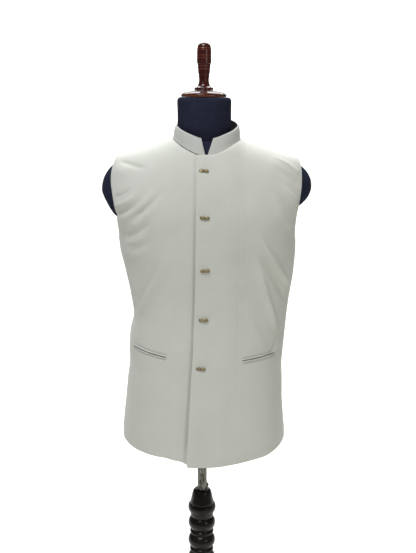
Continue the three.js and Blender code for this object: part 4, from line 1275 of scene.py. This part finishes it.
def sewn_line(name, path, normals, pitch):
    lengths = np.concatenate([[0], np.cumsum(np.linalg.norm(np.diff(path, axis=0), axis=1))])
    places = np.arange(pitch, lengths[-1] - pitch / 2, pitch)
    middles = np.stack([np.interp(places, lengths, path[:, axis]) for axis in range(3)], axis=1)
    outs = unit(np.stack([np.interp(places, lengths, normals[:, axis]) for axis in range(3)], axis=1))
    ahead = np.stack([np.interp(places + 0.5, lengths, path[:, axis]) for axis in range(3)], axis=1)
    parts = [stitch(m, unit(a - m), n) for m, a, n in zip(middles, ahead, outs)]
    vertices, faces = merged(parts)
    # The stitches take the darker ivory, which is painted shade.
    return finished(add_object(name, vertices, faces, IVORY_PAINTED_SHADE), "dressed_form", "cloth")


def armhole_line(side, hand, grid, extra_height, inset):
    """Places on the cloth at a distance in from the armhole's edge."""
    levels = grid["levels"]
    rows = levels > UNDERARM_Z + 1
    levels = levels[rows]
    angles = grid["angles"][rows]
    level_grid = np.broadcast_to(levels[:, None], angles.shape)
    base = section_point(CLOTH, side, hand, angles, level_grid)
    lengths = run_lengths(base)
    wanted = lengths[:, -1] - inset
    angle = np.array([np.interp(w, run, row) for w, run, row in zip(wanted, lengths, angles)])
    place = section_point(CLOTH, side, hand, angle, levels)
    normal = section_normal(CLOTH, side, hand, angle, levels)
    height = relief(place) + extra_height(place) + 0.3
    return place + normal * height[:, None], normal


SEWN = {}
for name, side, hand, grid, extra in (
    ("front_left", FRONT, LEFT, left_grid, overlap_height),
    ("front_right", FRONT, RIGHT, right_grid, edge_trough),
    ("back_left", BACK, LEFT, back_left_grid, no_height),
    ("back_right", BACK, RIGHT, back_right_grid, no_height),
):
    line = armhole_line(side, hand, grid, extra, STITCH_INSET)
    SEWN[name] = sewn_line(f"armhole_stitches_{name}", *line, STITCH_PITCH)


# Buttons

def ellipsoid(radii, centre, rings=14, sides=24):
    polar = np.linspace(0, np.pi, rings + 1)[:, None]
    turn = full_turn(sides)
    x = np.sin(polar) * np.cos(turn)
    y = np.sin(polar) * np.sin(turn)
    z = np.cos(polar) + 0 * turn
    vertices = (np.stack([x, y, z], axis=-1) * radii + centre).reshape(-1, 3)
    return vertices, grid_faces(closed_grid(rings + 1, sides), True)


def knot_parts():
    """A flat knot of cord in metal: two lobes of three coils each, and a wrapped middle."""
    parts = []
    t = np.linspace(0, 2 * np.pi, 73)[:-1]
    for reach, height, radius, rise in ((10.3, 7.6, 1.25, 1.3), (7.6, 4.6, 1.2, 2.1), (5.2, 2.0, 1.15, 2.7)):
        bottom = 1 + np.sin(t) ** 2
        x = reach * np.cos(t) / bottom
        z = height * np.sin(t) * np.cos(t) / bottom * 1.35
        y = -rise - 0.55 * np.sin(t)
        parts.append(tube(np.stack([x, y, z], axis=1), radius, 10))
    for hand in (-1, 1):
        parts.append(ellipsoid((5.0, 2.4, 3.9), (hand * 5.6, -1.2, 0)))
    for offset in (-1.5, 0, 1.5):
        turn = np.linspace(0, 2 * np.pi, 25)[:-1]
        wrap = 2.35 + 0.25 * (offset == 0)
        y = -2.0 - wrap * 0.9 * np.cos(turn)
        path = np.stack([offset + 0 * turn, y, wrap * 1.15 * np.sin(turn)], axis=1)
        parts.append(tube(path, 0.85, 8, np.array([1.0, 0, 0])))
    return merged(parts)


def outward_faces(piece):
    """Turns a closed mesh's faces outwards."""
    mesh = bmesh.new()
    mesh.from_mesh(piece.data)
    bmesh.ops.remove_doubles(mesh, verts=mesh.verts, dist=1e-6)
    bmesh.ops.recalc_face_normals(mesh, faces=mesh.faces)
    mesh.to_mesh(piece.data)
    mesh.free()


def solid(name, mesh, material):
    piece = add_object(name, *mesh, material)
    outward_faces(piece)
    return piece


def make_button(number, row):
    x, z, turn, seat = row
    piece = solid(f"button_knot_{number}", knot_parts(), BRASS)
    place = worn_point(LEFT, np.array(float(x)), np.array(float(z)), -0.15 - seat * 0.5)
    outward = Vector(cloth_normal(FRONT, np.array(float(x)), np.array(float(z))))
    facing = Vector((0, -1, 0)).rotation_difference(outward).to_matrix().to_4x4()
    turning = Matrix.Rotation(math.radians(-turn), 4, Vector((0, -1, 0)))
    size = Matrix.Diagonal((0.9, 0.9, 0.82, 1))
    piece.matrix_world = Matrix.Translation(Vector(place) * MM) @ facing @ turning @ size
    return finished(piece, "dressed_form", "button", f"button_{number}")


buttons = [make_button(number, row) for number, row in enumerate(BUTTONS, 1)]


# Dress form

NECK_RINGS = table(
    "z x y half depth",
    (1340, 3, 2, 50, 48), (1395, 1.5, -3, 56, 51), (1436, -0.5, -7, 58.5, 53),
    (1452, -1, -8, 57.5, 52.5), (1485, -1.5, -10, 58, 53), (1492, -1.5, -10.5, 57, 52),
    (1495.4, -1.5, -11, 54, 49), (1496.5, -1.5, -11, 49.5, 45),
)


def loft(rings):
    """Closed loft through rings of equal length."""
    rings = np.asarray(rings)
    count, sides = rings.shape[:2]
    faces = grid_faces(closed_grid(count, sides), False).tolist()
    vertices = np.concatenate([rings.reshape(-1, 3), rings[:1].mean(axis=1), rings[-1:].mean(axis=1)])
    low = count * sides
    for step in range(sides):
        ahead = (step + 1) % sides
        faces.append([ahead, step, low])
        faces.append([(count - 1) * sides + step, (count - 1) * sides + ahead, low + 1])
    return vertices, faces


FORM_SIDES, FORM_ROWS = 160, 81


def torso_rings():
    share = np.linspace(0, 1, FORM_ROWS)
    eased = share + 0.16 * np.sin(np.pi * share)
    levels = FORM_BOTTOM_Z + (RIDGE_TOP_Z - FORM_BOTTOM_Z) * eased
    turn = full_turn(FORM_SIDES)
    ring_sides = np.where(np.arange(FORM_SIDES) <= FORM_SIDES // 2, BACK, FRONT)
    ring_hands = np.where(np.cos(turn) >= 0, LEFT, RIGHT)
    rings = np.zeros((FORM_ROWS, FORM_SIDES, 3))
    angle = np.arccos(np.minimum(np.abs(np.cos(turn)), 1))
    for side in (BACK, FRONT):
        for hand in (LEFT, RIGHT):
            mine = (ring_sides == side) & (ring_hands == hand)
            rings[:, mine] = section_point(FORM, side, hand, angle[None, mine], levels[:, None])
    return rings


def neck_rings():
    z = np.concatenate([np.linspace(1340, 1485, 24), np.linspace(1487, 1496.5, 10)])
    turn = full_turn(96)
    columns = ("x", "y", "half", "depth")
    x, y, half, depth = (look_up(NECK_RINGS, "z", z, column)[:, None] for column in columns)
    return np.stack([x + half * np.cos(turn), y + depth * np.sin(turn), z[:, None] + 0 * turn], axis=-1)


def lathe(profile, segments=96):
    """A turned piece from its profile of radius and height."""
    profile = np.asarray(profile, float)
    turn = full_turn(segments)
    x = profile[:, :1] * np.cos(turn)
    y = profile[:, :1] * np.sin(turn)
    vertices = np.stack([x, y, profile[:, 1:] + 0 * turn], axis=-1).reshape(-1, 3)
    return vertices, grid_faces(closed_grid(len(profile), segments), False)


def bake(piece):
    """Replaces a piece's mesh by what its modifiers make of it."""
    graph = bpy.context.evaluated_depsgraph_get()
    result = bpy.data.meshes.new_from_object(piece.evaluated_get(graph))
    piece.modifiers.clear()
    piece.data = result


def apply_boolean(piece, other, operation):
    modifier = piece.modifiers.new("cut", "BOOLEAN")
    modifier.operation = operation
    modifier.solver = "EXACT"
    modifier.object = other
    bake(piece)
    bpy.data.objects.remove(other)


ARM_CAPS = {LEFT: (1309, 60), RIGHT: (1297, 74)}
CAP_WIDTH, CAP_DEPTH, CAP_OUT = 80, 57, 150
CAP_LEAN, CAP_FACE_OUT, CAP_FACE_Z = 27.6, 79.6, 1295


def arm_cap(hand):
    z, height = ARM_CAPS[hand]
    cap = solid("cap", ellipsoid((CAP_WIDTH, CAP_DEPTH, height), (0, 0, 0), 60, 96), JERSEY)
    mesh = bmesh.new()
    mesh.from_mesh(cap.data)
    lean = math.radians(CAP_LEAN)
    normal = Vector((math.cos(lean), 0, -math.sin(lean)))
    place = Vector((CAP_FACE_OUT, 0, CAP_FACE_Z - z)) * MM
    everything = mesh.verts[:] + mesh.edges[:] + mesh.faces[:]
    cut = bmesh.ops.bisect_plane(
        mesh, geom=everything, plane_co=place, plane_no=normal, clear_outer=True
    )
    rim = [edge for edge in cut["geom_cut"] if isinstance(edge, bmesh.types.BMEdge)]
    bmesh.ops.contextual_create(mesh, geom=rim)
    mesh.to_mesh(cap.data)
    mesh.free()
    bevel = cap.modifiers.new("bevel", "BEVEL")
    bevel.width = 0.0035
    bevel.segments = 4
    bevel.angle_limit = math.radians(25)
    bake(cap)
    shift = float(size_at(FORM, z, "shift"))
    flip = Matrix.Scale(hand, 4, (1, 0, 0))
    cap.data.transform(Matrix.Translation(((shift + hand * CAP_OUT) * MM, 0, z * MM)) @ flip)
    if hand == RIGHT:
        cap.data.flip_normals()
    return cap


def make_form():
    form = solid("form_cover_body", loft(torso_rings()), JERSEY)
    apply_boolean(form, solid("neck", loft(neck_rings()), JERSEY), "UNION")
    for hand in (LEFT, RIGHT):
        apply_boolean(form, arm_cap(hand), "UNION")
    bore = lathe([(0, 740), (BORE_RADIUS, 740), (BORE_RADIUS, 900), (0, 900)], 48)
    apply_boolean(form, solid("bore", bore, JERSEY), "DIFFERENCE")
    form.data.polygons.foreach_set("use_smooth", [True] * len(form.data.polygons))
    form.data.set_sharp_from_angle(angle=math.radians(38))
    return finished(form, "dressed_form", "form_cover", "form_body")


form = make_form()


# Turned pieces

def rounded_profile(points, steps=5):
    """A smooth curve through profile places; a place given twice stays a corner."""
    points = [np.array(point, float) for point in points]
    out = [points[0]]
    for here in range(len(points) - 1):
        a, b = points[here], points[here + 1]
        if np.allclose(a, b):
            continue
        before = points[here - 1] if here > 0 else a
        after = points[here + 2] if here + 2 < len(points) else b
        if np.allclose(before, a):
            before = a - (b - a)
        if np.allclose(after, b):
            after = b + (b - a)
        length = np.linalg.norm(b - a)
        start = (b - before) / max(np.linalg.norm(b - before), 1e-9) * length
        end = (after - a) / max(np.linalg.norm(after - a), 1e-9) * length
        for s in np.linspace(0, 1, steps + 1)[1:]:
            out.append(
                (2 * s**3 - 3 * s**2 + 1) * a
                + (s**3 - 2 * s**2 + s) * start
                + (3 * s**2 - 2 * s**3) * b
                + (s**3 - s**2) * end
            )
    return np.array(out)


def grooved(profile, grooves):
    """Cuts fine turned lines into a profile: height, depth and half width of each."""
    fine = []
    for (r0, z0), (r1, z1) in zip(profile, profile[1:]):
        count = max(int(abs(z1 - z0) / 0.5), 1)
        for s in np.arange(count) / count:
            fine.append((r0 + (r1 - r0) * s, z0 + (z1 - z0) * s))
    fine.append(tuple(profile[-1]))
    fine = np.array(fine)
    for at, depth, half in grooves:
        fine[:, 0] -= depth * np.exp(-(((fine[:, 1] - at) / half) ** 2)) * (fine[:, 0] > 5)
    return fine


FINIAL_PROFILE = [
    (0, 0), (0, 0), (46.5, 0), (48.6, 1.2), (49, 3), (48.3, 5.6), (44, 9), (34, 12), (24.5, 13.6),
    (21.5, 13.9), (21.5, 13.9), (20.4, 15), (20.6, 17.5), (19.4, 19.6), (17.3, 20.3), (17.3, 20.3),
    (15, 21.8), (12.6, 25.5), (11.1, 30), (10.6, 35), (11.1, 41), (11.6, 46), (12.1, 48),
    (13.2, 58), (14.2, 67), (15.1, 69.6), (15.4, 73), (15.4, 86), (15.2, 98), (14.4, 103),
    (12, 108.2), (8, 111.4), (3.5, 112.7), (0, 112.8),
]
FINIAL_GROOVES = [
    (46.8, 0.45, 0.7), (57.6, 0.5, 0.6), (60.8, 0.3, 0.5), (64, 0.5, 0.6), (68.2, 0.6, 0.8),
    (74, 0.3, 0.5), (80.5, 0.5, 0.6), (86, 0.5, 0.6), (91.5, 0.3, 0.5), (97.2, 0.5, 0.6),
    (101, 0.5, 0.6),
]


def make_finial():
    profile = grooved(rounded_profile(FINIAL_PROFILE), FINIAL_GROOVES)
    piece = solid("neck_finial_turned", lathe(profile), MAHOGANY)
    piece.location = (-2.5 * MM, -11 * MM, 1496.8 * MM)
    return finished(piece, "dressed_form", "finial", "neck_finial")


finial = make_finial()

BEAD_TOP_Z, BEAD_PITCH, BEAD_RADIUS, BEAD_CURVE, BEAD_SPREAD, BEAD_WAIST = 497, 46.6, 32.2, 21, 50, 27


def post_profile():
    column = [
        (0, 35.3), (0, 35.3), (46, 35.3), (46, 35.3), (46.3, 38), (46, 42), (40, 52), (36.6, 58),
        (36, 60), (36, 60), (36.6, 63), (36, 66), (36, 66), (31, 72), (28, 84), (26, 120),
        (22.5, 250), (21, 350), (22, 364), (22, 364), (25.6, 366), (26.2, 371), (25.6, 374),
        (23.8, 377.4), (23.8, 377.4),
    ]
    beads = []
    for bead in (2, 1, 0):
        middle = BEAD_TOP_Z - bead * BEAD_PITCH
        arc = []
        for step in range(13):
            angle = math.radians(BEAD_SPREAD * (2 * step / 12 - 1))
            radius = BEAD_RADIUS - BEAD_CURVE * (1 - math.cos(angle))
            arc.append((radius, middle + BEAD_CURVE * math.sin(angle)))
        beads += [arc[0], *arc, arc[-1]]
        if bead > 0:
            seat = middle + BEAD_PITCH / 2
            for out, up in ((-1.6, -5.2), (0.4, -3), (1.4, 0), (0.4, 3), (-1.6, 5.2)):
                beads.append((BEAD_WAIST + out, seat + up))
    ring = [
        (26.6, 514.6), (26.6, 514.6), (27.4, 518), (28, 521), (28.3, 525.6), (28.6, 527.6),
        (28.6, 527.6), (30.6, 528.6), (32.3, 532), (32.8, 536), (32.6, 540), (31.6, 544),
        (30, 546.4), (27.8, 547), (27.8, 547), (27.6, 549),
    ]
    socket = [
        (27.2, 552), (26.2, 557), (24.9, 563), (23.6, 570), (20.8, 579), (17.5, 582.6),
        (14.2, 583.5), (12, 583.2), (BORE_RADIUS, 582), (BORE_RADIUS, 582), (BORE_RADIUS, 225),
        (BORE_RADIUS, 225), (0, 225),
    ]
    return rounded_profile(column + beads + ring + socket, 4)


def make_post():
    piece = solid("post_turned", lathe(post_profile(), 96), DARK_LACQUER)
    hole = solid("hole", lathe([(0, 0), (4, 0), (4, 40), (0, 40)], 32), DARK_LACQUER)
    hole.data.transform(clamp_place())
    apply_boolean(piece, hole, "DIFFERENCE")
    piece.data.polygons.foreach_set("use_smooth", [True] * len(piece.data.polygons))
    return finished(piece, "stand", "post", "post")


def clamp_place():
    """Takes a piece that points along +Z to the clamp screw's place behind the socket."""
    turn = Matrix.Rotation(-math.radians(4.8), 4, "Z") @ Matrix.Rotation(-math.radians(90), 4, "X")
    return Matrix.Translation((0, 0, 0.574)) @ turn


def make_knob():
    turn = full_turn(120)
    outline = 11.6 + 0.9 * np.cos(6 * turn)
    rows = [(0.0, 29), (0.3, 29), (0.8, 29), (0.94, 29.3), (1.0, 30.8), (1.01, 33), (1.01, 37), (1.0, 39.4)]
    rows += [(0.95, 40.6), (0.86, 41), (0.55, 40.7), (0.5, 40.2), (0.2, 40.1), (0.0, 40.1)]
    rings = [
        np.stack([share * outline * np.cos(turn), share * outline * np.sin(turn), np.full(120, z)], axis=-1)
        for share, z in rows
    ]
    head = (np.concatenate(rings), grid_faces(closed_grid(len(rows), 120), False))
    thread = [(0, 11.5), (2.9, 11.5)]
    for z in np.arange(12.5, 28, 1.2):
        thread += [(3.1, z), (3.5, z + 0.6)]
    thread += [(3.5, 31), (0, 31)]
    piece = solid("clamp_knob_lobed", merged([head, lathe(thread, 32)]), PLASTIC)
    piece.matrix_world = clamp_place()
    return finished(piece, "clamp", "knob", "clamp_knob")


def make_pole():
    z = np.linspace(300, 899.7, 240)
    turn = full_turn(48)
    uneven = 0.12 * np.sin(z[:, None] / 9.3 + 2 * turn) + 0.1 * np.sin(z[:, None] / 4.1 - 3 * turn)
    radius = 10.9 + uneven * (z[:, None] > 590) * (z[:, None] < 755)
    rings = np.stack([radius * np.cos(turn), radius * np.sin(turn), z[:, None] + 0 * turn], axis=-1)
    piece = solid("pole_tube", loft(rings), ZINC)
    return finished(piece, "pole", "pole", "pole")


def make_base():
    profile = [
        (0, 0), (0, 0), (196, 0), (199, 1), (200, 4), (200, 4), (200, 15), (200, 15),
        (197.5, 18.8), (193, 21), (140, 28), (76, 34.4), (70, 35), (70, 35), (0, 35),
    ]
    piece = solid("base_turned", lathe(rounded_profile(profile, 6), 160), DARK_LACQUER)
    return finished(piece, "stand", "post", "base")


post = make_post()
knob = make_knob()
pole = make_pole()
base = make_base()


# Declared cloth

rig.sheet(
    front_left,
    flat=(0.32, 0.73),
    held="hung",
    rests_on=["form_cover_body"],
    area=sheet_area(left_points, left_faces),
    with_pieces=[*jets["left"], SEWN["front_left"]],
)
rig.sheet(
    front_right,
    flat=(0.30, 0.73),
    held="hung",
    rests_on=["form_cover_body"],
    area=sheet_area(right_points, right_faces),
    with_pieces=[*jets["right"], SEWN["front_right"]],
)
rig.sheet(
    back,
    flat=(0.54, 0.73),
    held="hung",
    rests_on=["form_cover_body"],
    area=sheet_area(back_points, back_faces),
    with_pieces=[SEWN["back_left"], SEWN["back_right"]],
)
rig.sheet(
    collar,
    flat=(0.462, 0.036),
    held="stretched",
    rests_on=["front_left_cloth", "front_right_cloth", "back_cloth"],
    area=collar_area,
)


# Studio

def area_light(name, place, target, width, height, power, colour):
    data = bpy.data.lights.new(name, "AREA")
    data.shape = "RECTANGLE"
    data.size = width
    data.size_y = height
    data.energy = power
    data.color = colour
    light = bpy.data.objects.new(name, data)
    bpy.context.scene.collection.objects.link(light)
    light.location = place
    light.rotation_euler = (Vector(target) - Vector(place)).to_track_quat("-Z", "Y").to_euler()
    return light


def make_studio():
    profile = [(-3.0, 0.0), (3.6, 0.0)]
    for step in range(1, 13):
        turn = math.radians(90 * step / 12)
        profile.append((3.6 + math.sin(turn), 1 - math.cos(turn)))
    profile.append((4.6, 3.3))
    vertices = [(x, y, z) for y, z in profile for x in (-2.3, 2.3)]
    faces = [(2 * row, 2 * row + 1, 2 * row + 3, 2 * row + 2) for row in range(len(profile) - 1)]
    floor = add_object("studio_floor", vertices, faces, paper_material(), scale=1)
    world = bpy.data.worlds.new("studio")
    world.use_nodes = True
    world.node_tree.nodes["Background"].inputs["Color"].default_value = (1, 1, 1, 1)
    world.node_tree.nodes["Background"].inputs["Strength"].default_value = 0.11
    bpy.context.scene.world = world
    lights = [
        area_light("key", (-0.85, -1.9, 4.8), (0, 0, 1.1), 2.0, 1.1, 107, (0.975, 0.985, 1.0)),
        area_light("fill", (1.8, -2.1, 1.6), (0, 0, 1.0), 0.6, 0.8, 7.5, (1.0, 0.97, 0.88)),
        area_light("glint", (-1.3, -2.4, 2.6), (0, 0, 1.2), 0.3, 0.3, 3, (0.96, 0.98, 1.0)),
        area_light("top", (0, 1.3, 3.8), (0, 0, 1.3), 3.0, 1.2, 52, (1.0, 1.0, 1.0)),
        area_light("backdrop", (0.1, 2.5, 3.6), (0.1, 3.8, 0.6), 4.4, 1.8, 205, (1.0, 1.0, 1.0)),
    ]
    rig.stage(floor, *lights)


make_studio()

with open("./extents.json", "w") as file:
    json.dump({"at_load": SIZE_AT_LOAD, "at_end": [list(corner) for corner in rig.bounds()]}, file)
